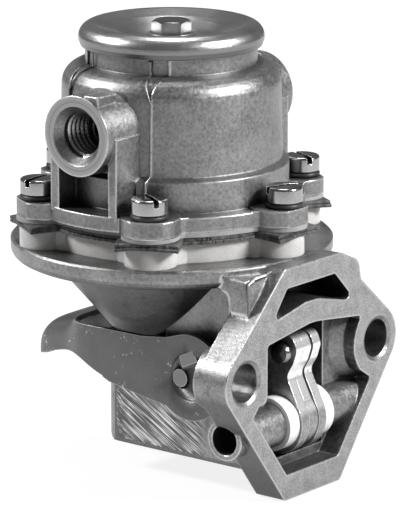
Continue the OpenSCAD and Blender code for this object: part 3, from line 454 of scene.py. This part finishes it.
# %% Worn steel
def worn_steel(name):
    """Rolled plate, worn bright where the cam runs on its front."""
    material, paint = new_material(name)
    fine = paint.noise(0.4 * mm, 3.0, 0.6)
    specks = paint.noise(1.2 * mm, 3.0, 0.6)
    front = paint.axis("Y", normal=True).ramp(-0.35, -0.75)
    high = paint.axis("Z").ramp(-13 * mm, -10 * mm)
    worn = front * high * specks.ramp(0.25, 0.42)
    skin = paint.mix(((fine + specks) * 0.5).ramp(0.35, 0.65), grey(0.24), grey(0.42))
    colour = paint.mix(worn, skin, grey(0.92))
    rubbed = paint.outer_edge(0.25 * mm)
    colour = paint.mix(rubbed * 0.6, colour, grey(0.85))
    finish(paint, colour, 0.42 - worn * 0.14, 0.85, specks + fine * 0.5, 0.03 * mm, 0.25 * mm)
    return material


give(worn_steel("rocker_steel"), "rocker_plate_near", "rocker_plate_far", "rocker_pad_block",
     "pull_link")

# %% [markdown]
# ## Plastics, rubber and gauze
#
# The thrust washers are white nylon, and the spacer ring is a milky plastic that lets some light
# through, which Subsurface gives. Rings and seals are black rubber. The valve cages and the
# filter's gauze are metal again.

# %% Soft parts
def moulded(name, colour_low, colour_high, rough, **constants):
    """Plastic, rubber or fibre, faintly cloudy between two greys."""
    material, paint = new_material(name)
    fine = paint.noise(0.6 * mm, 3.0, 0.6)
    clouds = paint.noise(5 * mm, 3.0)
    shade = ((fine - 0.5) * 0.4 + (clouds - 0.5) * 0.8 + 0.5).ramp(0.25, 0.75)
    finish(paint, paint.mix(shade, colour_low, colour_high), rough + (fine - 0.5) * 0.15, 0.0,
           fine, 0.02 * mm, 0.25 * mm, **constants)
    return material


give(moulded("white_nylon", grey(0.88), grey(0.95), 0.38, Subsurface_Weight=0.15,
             Subsurface_Scale=0.002, Subsurface_Radius=(1, 1, 1)), "pin_washers")
give(moulded("milky_spacer", grey(0.52, 0.02), grey(0.66, 0.02), 0.35, Subsurface_Weight=0.3,
             Subsurface_Scale=0.004, Subsurface_Radius=(1, 1, 1)), "spacer_ring")
give(moulded("black_rubber", grey(0.015), grey(0.035), 0.45), "lock_rings", "cover_gasket",
     "rod_seal", "shaft_seals", "inlet_valve_disc", "outlet_valve_disc")
give(moulded("gasket_fibre", grey(0.3), grey(0.42), 0.7), "diaphragm_gasket")
give(satin_metal("valve_brass", 0.5, 0.35), "inlet_valve_cage", "outlet_valve_cage",
     "filter_screen")

# %% [markdown]
# ## Trees that grow shapes
#
# Screws, springs and threads all repeat one form or follow a path, and Geometry Nodes do both. A
# tree has named inputs for its sizes. It is run once on a small start mesh, its result is kept as
# a plain mesh, and the modifier goes, because the other tools want finished meshes.

# %% Shape trees
class Shape(Paint):
    """A Geometry Nodes tree with named inputs."""

    def __init__(self, name, **inputs):
        super().__init__(bpy.data.node_groups.new(name, "GeometryNodeTree"))
        face = self.tree.interface
        face.new_socket(name="Geometry", in_out="INPUT", socket_type="NodeSocketGeometry")
        for key, kind in inputs.items():
            face.new_socket(name=key, in_out="INPUT", socket_type="NodeSocket" + kind)
        face.new_socket(name="Geometry", in_out="OUTPUT", socket_type="NodeSocketGeometry")

    def given(self, name):
        return self.add("NodeGroupInput", out=name)

    def swept(self, path, radius, sides, scale=None):
        """A closed wire along a path, with a many-sided section."""
        section = self.add("GeometryNodeCurvePrimitiveCircle", None,
                           {"Resolution": sides, "Radius": radius})
        sockets = {"Curve": path, "Profile Curve": section, "Fill Caps": True}
        if scale is not None:
            sockets["Scale"] = scale
        return self.add("GeometryNodeCurveToMesh", None, sockets)

    def close(self, geometry):
        solid = self.add("GeometryNodeRealizeInstances", None, {"Geometry": geometry})
        self.coat = self.tree.nodes.new("GeometryNodeSetMaterial")
        self.tree.links.new(solid.socket, self.coat.inputs["Geometry"])
        end = self.tree.nodes.new("NodeGroupOutput")
        self.tree.links.new(self.coat.outputs[0], end.inputs[0])


# %% Run a tree
def link(name, mesh):
    piece = bpy.data.objects.new(name, mesh)
    bpy.context.scene.collection.objects.link(piece)
    return piece


def outward(mesh, smooth_below=35):
    """Merges doubles, turns every face outwards and smooths all but the sharp edges."""
    work = bmesh.new()
    work.from_mesh(mesh)
    bmesh.ops.remove_doubles(work, verts=work.verts, dist=1e-7)
    bmesh.ops.recalc_face_normals(work, faces=work.faces)
    work.to_mesh(mesh)
    work.free()
    mesh.shade_smooth()
    mesh.set_sharp_from_angle(angle=math.radians(smooth_below))
    return mesh


def baked(piece, modifier):
    """Runs a modifier, takes it off again and returns the mesh that it made."""
    shown = piece.evaluated_get(bpy.context.evaluated_depsgraph_get())
    mesh = bpy.data.meshes.new_from_object(shown)
    piece.modifiers.remove(modifier)
    return mesh


def grow(name, shape, material, start=None, **sizes):
    """Runs a tree on a start mesh and returns the result as a plain piece."""
    source = link(name + "_start", start or bpy.data.meshes.new(name + "_start"))
    shape.coat.inputs["Material"].default_value = material
    modifier = source.modifiers.new("tree", "NODES")
    modifier.node_group = shape.tree
    for item in shape.tree.interface.items_tree:
        if item.in_out == "INPUT" and item.name in sizes:
            modifier[item.identifier] = sizes[item.name]
    mesh = baked(source, modifier)
    bpy.data.objects.remove(source)
    print(name, len(mesh.vertices), "points")
    return link(name, outward(mesh))


# %% [markdown]
# ## Clamp screws
#
# Six cheese head screws hold the stack together. Each was driven home by hand, so their slots
# point every way and their driven edges are torn bright. One screw is turned from its profile, as
# on a lathe. The tree cuts the slot, then sets six copies round the pump, each turned at random.

# %% Turn a profile
def lathe(name, profile, steps=40):
    """A closed solid of revolution about Z; profile is (radius, height) from pole to pole."""
    work = bmesh.new()
    rings = [[work.verts.new((r * math.cos(2 * math.pi * i / steps),
                              r * math.sin(2 * math.pi * i / steps), z)) for i in range(steps)]
             for r, z in profile[1:-1]]
    for low, high in zip(rings, rings[1:]):
        for i in range(steps):
            j = (i + 1) % steps
            work.faces.new((low[i], low[j], high[j], high[i]))
    for pole, ring in ((profile[0], rings[0]), (profile[-1], rings[-1])):
        tip = work.verts.new((0, 0, pole[1]))
        for i in range(steps):
            work.faces.new((tip, ring[i], ring[(i + 1) % steps]))
    mesh = bpy.data.meshes.new(name)
    work.to_mesh(mesh)
    work.free()
    return outward(mesh)


# %% One screw
SCREW_R = 32.9
seat_z, head_r, head_top, tip_z = 36.3 * mm, 4.25 * mm, 40.0 * mm, 19.8 * mm
crown_r = 0.6 * mm
crown = [(head_r - crown_r + crown_r * math.cos(math.radians(a)),
          head_top - crown_r + crown_r * math.sin(math.radians(a))) for a in range(0, 91, 15)]
screw_profile = [(0, tip_z), (1.9 * mm, tip_z), (2.5 * mm, tip_z + 0.6 * mm), (2.5 * mm, seat_z),
                 (head_r - 0.25 * mm, seat_z), (head_r, seat_z + 0.25 * mm),
                 *crown, (1.8 * mm, head_top + 0.12 * mm), (0, head_top + 0.15 * mm)]
screw_mesh = lathe("one_screw", screw_profile)
print("screw", len(screw_mesh.polygons), "faces")

# %% Tree for the screws
screws = Shape("screw_circle", Count="Int", Pitch_Radius="Float", Slot_Width="Float",
               Slot_Floor="Float", Head_Top="Float", Seed="Int")
cutter = screws.add("GeometryNodeMeshCube", None, {"Size": screws.add(
    "ShaderNodeCombineXYZ", None,
    {0: 0.02, 1: screws.given("Slot_Width"), 2: screws.given("Head_Top")})})
cutter = screws.add("GeometryNodeTransform", None, {"Geometry": cutter, "Translation": screws.add(
    "ShaderNodeCombineXYZ", None,
    {2: screws.given("Slot_Floor") + screws.given("Head_Top") * 0.5})})
slotted = screws.add("GeometryNodeMeshBoolean", {"operation": "DIFFERENCE", "solver": "EXACT"},
                     {"Mesh 1": screws.given("Geometry"), "Mesh 2": cutter})
ring_points = screws.add("GeometryNodeMeshCircle", None,
                         {"Vertices": screws.given("Count"),
                          "Radius": screws.given("Pitch_Radius")})
driven = screws.add("FunctionNodeRandomValue", {"data_type": "FLOAT"},
                    {2: 0.0, 3: math.pi, "Seed": screws.given("Seed")}, out=1)
placed = screws.add("GeometryNodeInstanceOnPoints", None,
                    {"Points": ring_points, "Instance": slotted, "Rotation": screws.add(
                        "ShaderNodeCombineXYZ", None, {2: driven})})
turned_ring = screws.add("GeometryNodeTransform", None,
                         {"Geometry": placed, "Translation": (0, AXIS_Y, 0),
                          "Rotation": (0, 0, math.radians(30))})
screws.close(turned_ring)

# %% Six screws
screw_set = grow("clamp_screw_set", screws, bright_zinc, screw_mesh, Count=6,
                 Pitch_Radius=SCREW_R * mm, Slot_Width=1.3 * mm, Slot_Floor=38.4 * mm,
                 Head_Top=4 * mm, Seed=4)
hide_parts("clamp_screws")
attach(screw_set, "housing")

# %% [markdown]
# ## Springs
#
# A compression spring is a wire wound on a helix, whose first and last turns are closed flat so
# that it stands square. The tree winds a spiral and then resets its heights: one wire's thickness
# for each closed turn, and the rest spread over the open turns. Each spring stands between its two
# seats. The rocker tilts as it comes down on its coil, whose end stays level.

# %% Tree for springs
spring = Shape("wound_spring", Turns="Float", Radius="Float", Wire="Float", Length="Float",
               Place="Vector")
turns, wire = spring.given("Turns"), spring.given("Wire")
helix = spring.add("GeometryNodeCurveSpiral", None,
                   {"Resolution": 32, "Rotations": turns, "Start Radius": spring.given("Radius"),
                    "End Radius": spring.given("Radius"), "Height": spring.given("Length")})
along = spring.add("GeometryNodeSplineParameter", out="Factor")
one_turn = 1 / turns
opened = ((along - one_turn) / (1 - one_turn * 2)).clamped()
closed_rise = wire * turns
rise = closed_rise * along + (spring.given("Length") - wire - closed_rise) * opened
spot = spring.add("GeometryNodeInputPosition")
level = spring.add("ShaderNodeSeparateXYZ", None, {0: spot}, out="Z")
helix = spring.add("GeometryNodeSetPosition", None,
                   {"Geometry": helix, "Offset": spring.add(
                       "ShaderNodeCombineXYZ", None, {2: rise - level + wire * 0.5})})
wound = spring.swept(helix, wire * 0.5, 10)
spring.close(spring.add("GeometryNodeTransform", None,
                        {"Geometry": wound, "Translation": spring.given("Place")}))


# %% Wind the springs
def wind(name, node, body, joint, turns, radius, wire, length, foot, travel, downwards=False):
    """One spring between its seats, set down at its foot."""
    piece = grow(name, spring, wire_steel, Turns=turns, Radius=radius * mm, Wire=wire * mm,
                 Length=length * mm, Place=Vector(foot) * mm)
    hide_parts(node)
    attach(piece, body)
    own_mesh(piece)


wire_steel = satin_metal("wire_steel", 0.4, 0.3, stretch=(1, 1, 3))
wind("diaphragm_coil", "diaphragm_spring", "housing", "diaphragm_slide", turns=6.0, radius=9.0,
     wire=1.6, length=21.5, foot=(0, PUMP_Y, 5.8), travel=4.7)
wind("rocker_coil", "rocker_return_spring", "housing", "rocker_pivot", turns=4.0, radius=2.7,
     wire=0.8, length=5.9, foot=(0, 16.7, -22.8), travel=1.75)
valve_coil = {"turns": 3.0, "radius": 2.2, "wire": 0.4, "length": 1.9, "travel": 1.0}
half_width = Vector((2.4, 2.4, 0))
wind("inlet_valve_coil", "inlet_valve_spring", "housing", "inlet_valve_lift",
     foot=tuple(Vector(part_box("inlet_valve_spring")[0]) / mm + half_width), **valve_coil)
wind("outlet_valve_coil", "outlet_valve_spring", "housing", "outlet_valve_lift",
     foot=tuple(Vector(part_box("outlet_valve_spring")[0]) / mm + half_width), **valve_coil,
     downwards=True)

# %% [markdown]
# ## Port threads
#
# A tapped port is a bore with one long groove wound round it. Looking in, the eye sees the crests
# that stand between the turns, so the tree sweeps a four-sided section along a helix that is half
# sunk in the wall of the bore: only its inner corner shows, as a sharp crest.

# %% Tree for a thread
thread = Shape("tapped_thread", Turns="Float", Radius="Float", Crest="Float", Length="Float",
               Place="Vector", Turn="Vector")
winding = thread.add("GeometryNodeCurveSpiral", None,
                     {"Resolution": 48, "Rotations": thread.given("Turns"),
                      "Start Radius": thread.given("Radius"),
                      "End Radius": thread.given("Radius"), "Height": thread.given("Length")})
winding = thread.add("GeometryNodeSetCurveNormal", {"mode": "Z_UP"}, {"Curve": winding})
crests = thread.swept(winding, thread.given("Crest"), 4)
thread.close(thread.add("GeometryNodeTransform", None,
                        {"Geometry": crests, "Translation": thread.given("Place"),
                         "Rotation": thread.given("Turn")}))

# %% Tap both ports
pitch, tapped, port_face, tap_start = 1.5, 8.25, 34.4, 2.6
crest_r, crest = 5.45, 0.74
thread_metal = cast_aluminium("tapped_metal", 0.2, port_faces, mottle=0.0)
for name, side in (("inlet_thread", -1), ("outlet_thread", 1)):
    piece = grow(name, thread, thread_metal, Turns=tapped / pitch, Radius=crest_r * mm,
                 Crest=crest * mm, Length=tapped * mm,
                 Place=Vector((side * (port_face - tap_start), PUMP_Y, PORT_Z)) * mm,
                 Turn=(0, -side * math.pi / 2, 0))
    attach(piece, "housing")

# %% [markdown]
# ## Diaphragm
#
# The diaphragm is two plies of rubber coated cloth, cut with scissors and punched for the screws.
# Its tabs stand out past the plastic ring, droop where nothing carries them, and fray. Inside, the
# cloth is slack: its middle is clamped to the rod and goes down with it, and the web between rolls
# over. So each ply's clamped rim stays with the housing, the middle rides on the rod, and the web
# is eight pieces.

# %% Cloth outline
RIM_R, TAB_R, TAB_HALF = 31.2, 37.3, 7.3
CLOTH_LOW, PLY = 28.6, 0.8
LOBE_PITCH, LOBE_R = 31.3, 6.4
spacer_r, web_out, web_in = 30.2, 24.6, 17.0


def cloth_edge(angle, grown, ragged):
    """The cut edge's distance from the pump axis, in mm, at an angle in radians."""
    off = angle % math.radians(60) - math.radians(30)
    tab = min((TAB_R + grown) / math.cos(off), TAB_HALF / max(abs(math.sin(off)), 1e-6))
    return max(RIM_R + grown, tab) + ragged, off


def ragged_row(seed, count):
    """Small seeded steps along the cut: short nicks on a slow wave."""
    roll = random.Random(seed)
    slow = [roll.uniform(-0.25, 0.25) for _ in range(count // 12)]
    row = []
    for i in range(count):
        t = i / 12
        a, b = slow[int(t) % len(slow)], slow[(int(t) + 1) % len(slow)]
        row.append(a + (b - a) * (t % 1) + roll.uniform(-0.13, 0.13))
    return row


# %% One clamped ply
def ply_rim(name, low, thick, grown, droop, seed, count=720):
    """Ring of cloth from the web to the cut edge, with drooping tabs."""
    work = bmesh.new()
    rough = ragged_row(seed, count)
    roll = random.Random(seed + 50)
    phase = roll.uniform(0, 2 * math.pi)
    columns = []
    for i in range(count):
        angle = 2 * math.pi * i / count
        edge, off = cloth_edge(angle, grown, rough[i])
        column = []
        stations = [web_out, 28.0, max(29.5, edge - 3.0), edge - 1.2, edge - 0.35, edge]
        for side in (0, 1):
            for reach in (stations if side == 0 else reversed(stations)):
                spot = Vector((reach * math.cos(off), reach * math.sin(off)))
                beyond = 0
                if reach > spacer_r:
                    beyond = max(0.0, (spot - Vector((LOBE_PITCH, 0))).length - LOBE_R)
                beyond = min(beyond, max(0.0, reach - spacer_r - 0.6))
                sag = droop * beyond * (1 + 0.5 * math.sin(5 * angle + phase))
                thin = 0.12 * thick if reach > edge - 0.1 else 0
                z = low + (thick - thin if side else thin) - sag
                column.append(work.verts.new(Vector((reach * math.cos(angle) * mm,
                                                     reach * math.sin(angle) * mm + AXIS_Y,
                                                     z * mm))))
        columns.append(column)
    for left_side, right_side in zip(columns, columns[1:] + columns[:1]):
        n = len(left_side)
        for k in range(n):
            m = (k + 1) % n
            work.faces.new((left_side[k], left_side[m], right_side[m], right_side[k]))
    mesh = bpy.data.meshes.new(name)
    work.to_mesh(mesh)
    work.free()
    return link(name, outward(mesh, 50))


# %% Punch the screw holes
def punch(piece):
    """Cuts the six screw holes with a Boolean against six turned cylinders."""
    work = bmesh.new()
    for i in range(6):
        angle = math.radians(30 + 60 * i)
        spot = Matrix.Translation((SCREW_R * math.cos(angle) * mm,
                                   SCREW_R * math.sin(angle) * mm + AXIS_Y,
                                   (CLOTH_LOW + PLY) * mm))
        bmesh.ops.create_cone(work, cap_ends=True, segments=24, radius1=2.6 * mm,
                              radius2=2.6 * mm, depth=6 * mm, matrix=spot)
    mesh = bpy.data.meshes.new("punches")
    work.to_mesh(mesh)
    work.free()
    punches = link("punches", mesh)
    cut = piece.modifiers.new("punch", "BOOLEAN")
    cut.object, cut.operation, cut.solver = punches, "DIFFERENCE", "EXACT"
    mesh = baked(piece, cut)
    bpy.data.objects.remove(punches)
    piece.data = outward(mesh, 50)
    print(piece.name, len(mesh.polygons), "faces")


# %% Coated cloth
def coated_cloth(name, low, high):
    """Dark rubbery skin over a weave whose threads show as a fine grid."""
    material, paint = new_material(name)
    threads = []
    for turn in (0.0, math.pi / 2):
        threads.append(paint.add("ShaderNodeTexWave", {"bands_direction": "X"},
                                 {"Vector": paint.drawn_out((0, 0, turn + 0.3), (1, 1, 1)),
                                  "Scale": 0.1 / (0.55 * mm), "Distortion": 1.0}, out="Fac"))
    weave = (threads[0] + threads[1]) * 0.5
    fine = paint.noise(0.5 * mm, 4.0, 0.7)
    wide = paint.noise(4 * mm, 3.0)
    shade = (fine - 0.5) * 0.6 + (wide - 0.5) * 0.6 + (weave - 0.5) * 0.3 + 0.5
    colour = paint.mix(shade.ramp(0.25, 0.8), grey(low), grey(high))
    colour = paint.mix(paint.outer_edge(0.3 * mm) * fine.ramp(0.45, 0.6) * 0.6, colour, grey(0.3))
    finish(paint, colour, 0.62 + (fine - 0.5) * 0.3, 0.0, weave * 0.5 + fine, 0.12 * mm, 0.15 * mm)
    return material


cloth = coated_cloth("coated_cloth", 0.035, 0.13)
for name, node, low, grown, droop, seed in (
        ("lower_ply_rim", "diaphragm_lower_layer", CLOTH_LOW, 0.3, 0.1, 11),
        ("upper_ply_rim", "diaphragm_upper_layer", CLOTH_LOW + PLY, 0.0, 0.08, 23)):
    piece = ply_rim(name, low, PLY, grown, droop, seed)
    punch(piece)
    piece.data.materials.clear()
    piece.data.materials.append(cloth)
    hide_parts(node)
    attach(piece, "housing")

# %% Middle and web
ROD_HOLE_R, MIDDLE_STEPS = 2.8, 64
cloth_top = CLOTH_LOW + 2 * PLY
middle_profile = [(ROD_HOLE_R, CLOTH_LOW), (web_in, CLOTH_LOW), (web_in, cloth_top),
                  (ROD_HOLE_R, cloth_top)]
work = bmesh.new()
round_angles = [2 * math.pi * i / MIDDLE_STEPS for i in range(MIDDLE_STEPS)]
rings = [[work.verts.new((r * mm * math.cos(a), r * mm * math.sin(a) + AXIS_Y, z * mm))
          for a in round_angles] for r, z in middle_profile]
for low_ring, high_ring in zip(rings, rings[1:] + rings[:1]):
    for i in range(MIDDLE_STEPS):
        j = (i + 1) % MIDDLE_STEPS
        work.faces.new((low_ring[i], low_ring[j], high_ring[j], high_ring[i]))
mesh = bpy.data.meshes.new("diaphragm_middle")
work.to_mesh(mesh)
work.free()
middle = link("diaphragm_middle", outward(mesh, 50))
mesh.materials.append(cloth)
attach(middle, "diaphragm")


def web_piece(index, parts=8, steps=10, across=9):
    """One eighth of the slack web, a sheet with a shallow roll, as a closed solid."""
    work = bmesh.new()
    middle_angle = 2 * math.pi * (index + 0.5) / parts
    grid = []
    for side in (0, 1):
        sheet = []
        for i in range(steps + 1):
            t = i / steps
            reach = web_in + (web_out - web_in) * t
            z = CLOTH_LOW + 2 * PLY * side + 0.9 * math.sin(math.pi * t) ** 2
            row = []
            for k in range(across + 1):
                angle = middle_angle + 2 * math.pi / parts * (k / across - 0.5)
                row.append(work.verts.new((reach * mm * math.cos(angle),
                                           reach * mm * math.sin(angle) + AXIS_Y, z * mm)))
            sheet.append(row)
        grid.append(sheet)
    for side in (0, 1):
        for i in range(steps):
            for k in range(across):
                work.faces.new((grid[side][i][k], grid[side][i][k + 1],
                                grid[side][i + 1][k + 1], grid[side][i + 1][k]))
    border = ([(0, k) for k in range(across)] + [(i, across) for i in range(steps)]
              + [(steps, k) for k in range(across, 0, -1)] + [(i, 0) for i in range(steps, 0, -1)])
    for (i, k), (m, n) in zip(border, border[1:] + border[:1]):
        work.faces.new((grid[0][i][k], grid[0][m][n], grid[1][m][n], grid[1][i][k]))
    mesh = bpy.data.meshes.new("web")
    work.to_mesh(mesh)
    work.free()
    piece = link(f"diaphragm_web_{index + 1}", outward(mesh, 50))
    mesh.materials.append(cloth)
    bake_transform(piece)


for index in range(8):
    web_piece(index)
print("web of eight pieces")

# %% [markdown]
# ## Mould flash
#
# The upper body was cast in a mould with a side core, and metal crept between the two. It left a
# thin ragged ridge that runs up the body at each edge of the core, with a torn nib at the neck.
# The path follows the body's profile; a tree shakes it, sweeps it and swells it where the path
# says so.

# %% Tree for flash
flash = Shape("mould_flash", Thickness="Float", Shake="Float", Seed="Float")
path = flash.add("GeometryNodeMeshToCurve", None, {"Mesh": flash.given("Geometry")})
path = flash.add("GeometryNodeResampleCurve", {"mode": "LENGTH"},
                 {"Curve": path, "Length": 0.4 * mm})
jitter = flash.add("ShaderNodeTexNoise", {"noise_dimensions": "4D"},
                   {"Scale": 1100.0, "Detail": 2.0, "W": flash.given("Seed")}, out="Color")
shaken = flash.add("ShaderNodeVectorMath", {"operation": "SUBTRACT"},
                   {0: jitter, 1: (0.5, 0.5, 0.5)})
shaken = flash.add("ShaderNodeVectorMath", {"operation": "SCALE"},
                   {0: shaken, "Scale": flash.given("Shake")})
path = flash.add("GeometryNodeSetPosition", None, {"Geometry": path, "Offset": shaken})
lumps = flash.add("ShaderNodeTexNoise", {"noise_dimensions": "4D"},
                  {"Scale": 650.0, "Detail": 2.0, "W": flash.given("Seed")})
swell = flash.add("GeometryNodeInputNamedAttribute", {"data_type": "FLOAT"}, {"Name": "swell"})
ridge = flash.swept(path, flash.given("Thickness"), 6, (lumps * 1.6 + 0.2) * swell)
flash.close(ridge)


# %% Run the flash up the body
def core_edge(side_x, side_y, swells):
    """The path of one core edge over the band, the body, the shoulder and the neck.

    Each point of the profile is a radius, a height and the core's half width there, in mm."""
    band_r, body_r, neck_r, shoulder_r = 27.4, 25.5, 20.0, 5
    core_half, neck_half, shoulder_z = 12, 8.5, 60.1
    profile = [(band_r, 36.0, core_half), (band_r, 41.9, core_half), (25.9, 42.8, core_half),
               (body_r, 43.5, core_half), (body_r, shoulder_z, core_half)]
    profile += [(body_r - shoulder_r + shoulder_r * math.cos(math.radians(a)),
                 shoulder_z + shoulder_r * math.sin(math.radians(a)),
                 core_half - (core_half - neck_half) * a / 90) for a in range(10, 86, 10)]
    profile += [(20.1, 65.1, neck_half), (neck_r, 65.6, 8.45), (neck_r, 68.6, 8.45)]
    mesh = bpy.data.meshes.new("core_edge")
    spots = [(side_x * math.sqrt(r * r - half * half) * mm, side_y * half * mm + AXIS_Y, z * mm)
             for r, z, half in profile]
    mesh.from_pydata(spots, [(i, i + 1) for i in range(len(spots) - 1)], [])
    mesh.attributes.new("swell", "FLOAT", "POINT")
    for point, (_, z, _) in zip(mesh.attributes["swell"].data, profile):
        point.value = swells.get(z, 1.0)
    return mesh


for name, side_x, side_y, seed, swells in (
        ("flash_inlet_front", -1, -1, 1.0, {68.6: 2.4, 65.6: 2.0, 36.0: 3.0, 41.9: 1.8}),
        ("flash_inlet_back", -1, 1, 2.0, {65.1: 2.2}),
        ("flash_outlet_front", 1, -1, 3.0, {65.6: 1.8}),
        ("flash_outlet_back", 1, 1, 4.0, {})):
    piece = grow(name, flash, flash_metal, core_edge(side_x, side_y, swells),
                 Thickness=0.2 * mm, Shake=0.3 * mm, Seed=seed)
    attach(piece, "housing")

# %% [markdown]
# ## The primer's handle
#
# The hand primer is pressed from one sheet. Its two arms run back past the lever box, and there
# the sheet is drawn out into a scoop: a sloping top that rolls over at its end, with the arms'
# lower edges flowing round it as a lip. The CAD arms are kept up to a plane, and the scoop is a
# net of ribs from its rim to its outer edge, made smooth by subdivision and given a thickness.

# %% Ribs of the scoop
# Each rib runs from the rim to the outer edge, in mm; the far half is the mirror image.
ARM_X, ARM_CUT, SHEET = 18.7, 47.4, 1.3
ribs = [
    [(ARM_X, ARM_CUT - 0.6, z) for z in (3.84, 1.0, -2.0, -5.0, -7.9)],
    [(ARM_X, 49.2, z) for z in (3.82, 1.1, -1.6, -4.4, -7.1)],
    [(ARM_X, 51.8, z) for z in (3.8, 1.4, -1.2, -3.7, -5.9)],
    [(18.4, 54.4, 3.7), (18.45, 54.5, 1.4), (18.4, 54.6, -0.9), (18.3, 54.7, -3.0),
     (18.2, 54.8, -4.6)],
    [(17.6, 56.6, 3.6), (17.6, 56.9, 1.6), (17.5, 57.2, -0.4), (17.2, 57.5, -2.4),
     (17.0, 57.8, -4.1)],
    [(15.2, 58.8, 3.6), (15.4, 59.7, 2.0), (15.3, 60.6, 0.0), (15.0, 61.2, -2.4),
     (14.8, 61.7, -4.5)],
    [(12.3, 59.6, 3.6), (12.9, 61.6, 2.9), (13.4, 64.6, 1.2), (13.8, 66.9, -2.6),
     (13.3, 67.3, -6.2)],
    [(9.0, 59.7, 3.6), (9.6, 63.0, 2.9), (11.2, 68.6, 1.0), (12.3, 71.8, -3.4),
     (11.8, 72.1, -7.8)],
    [(6.0, 59.7, 3.6), (6.6, 63.8, 2.8), (8.2, 71.0, 0.7), (9.6, 74.7, -3.8),
     (9.2, 74.9, -8.9)],
    [(3.0, 59.7, 3.6), (3.3, 64.0, 2.8), (4.2, 71.2, 0.6), (5.0, 75.1, -3.8),
     (4.8, 75.1, -9.1)],
    [(0.0, 59.7, 3.6), (0.0, 64.0, 2.85), (0.0, 71.3, 0.6), (0.0, 75.15, -3.8),
     (0.0, 75.15, -9.2)],
]


def scoop():
    """The scoop's sheet as a smooth closed shell."""
    near = [[(-x, y, z) for x, y, z in rib] for rib in ribs]
    far = [list(rib) for rib in reversed(ribs[:-1])]
    work = bmesh.new()
    net = [[work.verts.new(Vector(spot) * mm) for spot in rib] for rib in near + far]
    for a, b in zip(net, net[1:]):
        for k in range(4):
            work.faces.new((a[k], a[k + 1], b[k + 1], b[k]))
    mesh = bpy.data.meshes.new("scoop")
    work.to_mesh(mesh)
    work.free()
    sheet = link("scoop", mesh)
    smooth = sheet.modifiers.new("smooth", "SUBSURF")
    smooth.levels = smooth.render_levels = 3
    smooth.boundary_smooth = "PRESERVE_CORNERS"
    wall = sheet.modifiers.new("wall", "SOLIDIFY")
    wall.thickness, wall.offset, wall.use_even_offset = SHEET * mm, 1.0, True
    return sheet


# %% Arms from the CAD, scoop behind them
handle = scoop()
work = bmesh.new()
work.from_mesh(NODES["primer_lever"].data)
bmesh.ops.remove_doubles(work, verts=work.verts, dist=1e-6)
bmesh.ops.bisect_plane(work, geom=work.verts[:] + work.edges[:] + work.faces[:],
                       plane_co=(0, ARM_CUT * mm, 0), plane_no=(0, 1, 0), clear_outer=True)
bmesh.ops.holes_fill(work, edges=[edge for edge in work.edges if edge.is_boundary])
arms_mesh = bpy.data.meshes.new("primer_sheet_metal")
work.to_mesh(arms_mesh)
work.free()
arms = link("primer_handle", arms_mesh)
join = arms.modifiers.new("join", "BOOLEAN")
join.object, join.operation, join.solver = handle, "UNION", "EXACT"
whole = baked(arms, join)
bpy.data.objects.remove(handle)
arms.data = outward(whole, 40)
arms.data.materials.clear()
arms.data.materials.append(bpy.data.materials["primer_sheet"])
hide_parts("primer_lever")
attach(arms, "primer")
reach = max(point.co.y for point in whole.vertices)
print("primer", len(whole.polygons), "faces, reaches back to", round(reach / mm, 1), "mm")

# %% [markdown]
# ## Buttress beside the flange
#
# On the near side a square buttress ties the flange to the rim of the disc. The casting's flash
# was broken off along its front edge and left a torn seam. The buttress is a side outline drawn
# out along X, with its outer edges bevelled, and the seam is one more run of the flash tree.

# %% Cast the buttress
def buttress(name, side):
    """Side outline in Y and Z, in mm, from inside the flange out to the buttress' own face."""
    outline = [(2.8, 12.9), (7.8, 12.9), (8.1, 18.0), (8.9, 19.0), (11.2, 19.3), (13.5, 20.2),
               (13.5, 22.6), (10.4, 22.7), (6.4, 22.1), (3.6, 22.2), (2.8, 18.3)]
    work = bmesh.new()
    inner, outer = ([work.verts.new((side * x * mm, y * mm, z * mm)) for y, z in outline]
                    for x in (10.0, 21.0))
    work.faces.new(inner)
    face = work.faces.new(outer)
    for i in range(len(outline)):
        j = (i + 1) % len(outline)
        work.faces.new((inner[i], inner[j], outer[j], outer[i]))
    bmesh.ops.bevel(work, geom=list(face.edges), offset=0.5 * mm, segments=3, affect="EDGES",
                    profile=0.5)
    mesh = bpy.data.meshes.new(name)
    work.to_mesh(mesh)
    work.free()
    piece = link(name, outward(mesh))
    mesh.materials.append(bpy.data.materials["cast_lower"])
    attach(piece, "housing")


buttress("flange_buttress", -1)
seam = bpy.data.meshes.new("seam")
seam_path = [(-12.6, 2.6, 23.1), (-14.5, 2.7, 22.6), (-18.0, 3.2, 22.3), (-20.6, 3.0, 21.4),
             (-20.9, 2.6, 18.3), (-20.8, 2.4, 14.9), (-21.2, 2.6, 13.1)]
seam.from_pydata([Vector(spot) * mm for spot in seam_path], [(i, i + 1) for i in range(6)], [])
seam.attributes.new("swell", "FLOAT", "POINT")
for point, swell_here in zip(seam.attributes["swell"].data,
                             (1.4, 2.4, 2.6, 1.6, 1.3, 1.6, 1.0)):
    point.value = swell_here
piece = grow("buttress_flash", flash, flash_metal, seam,
             Thickness=0.2 * mm, Shake=0.4 * mm, Seed=7.0)
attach(piece, "housing")
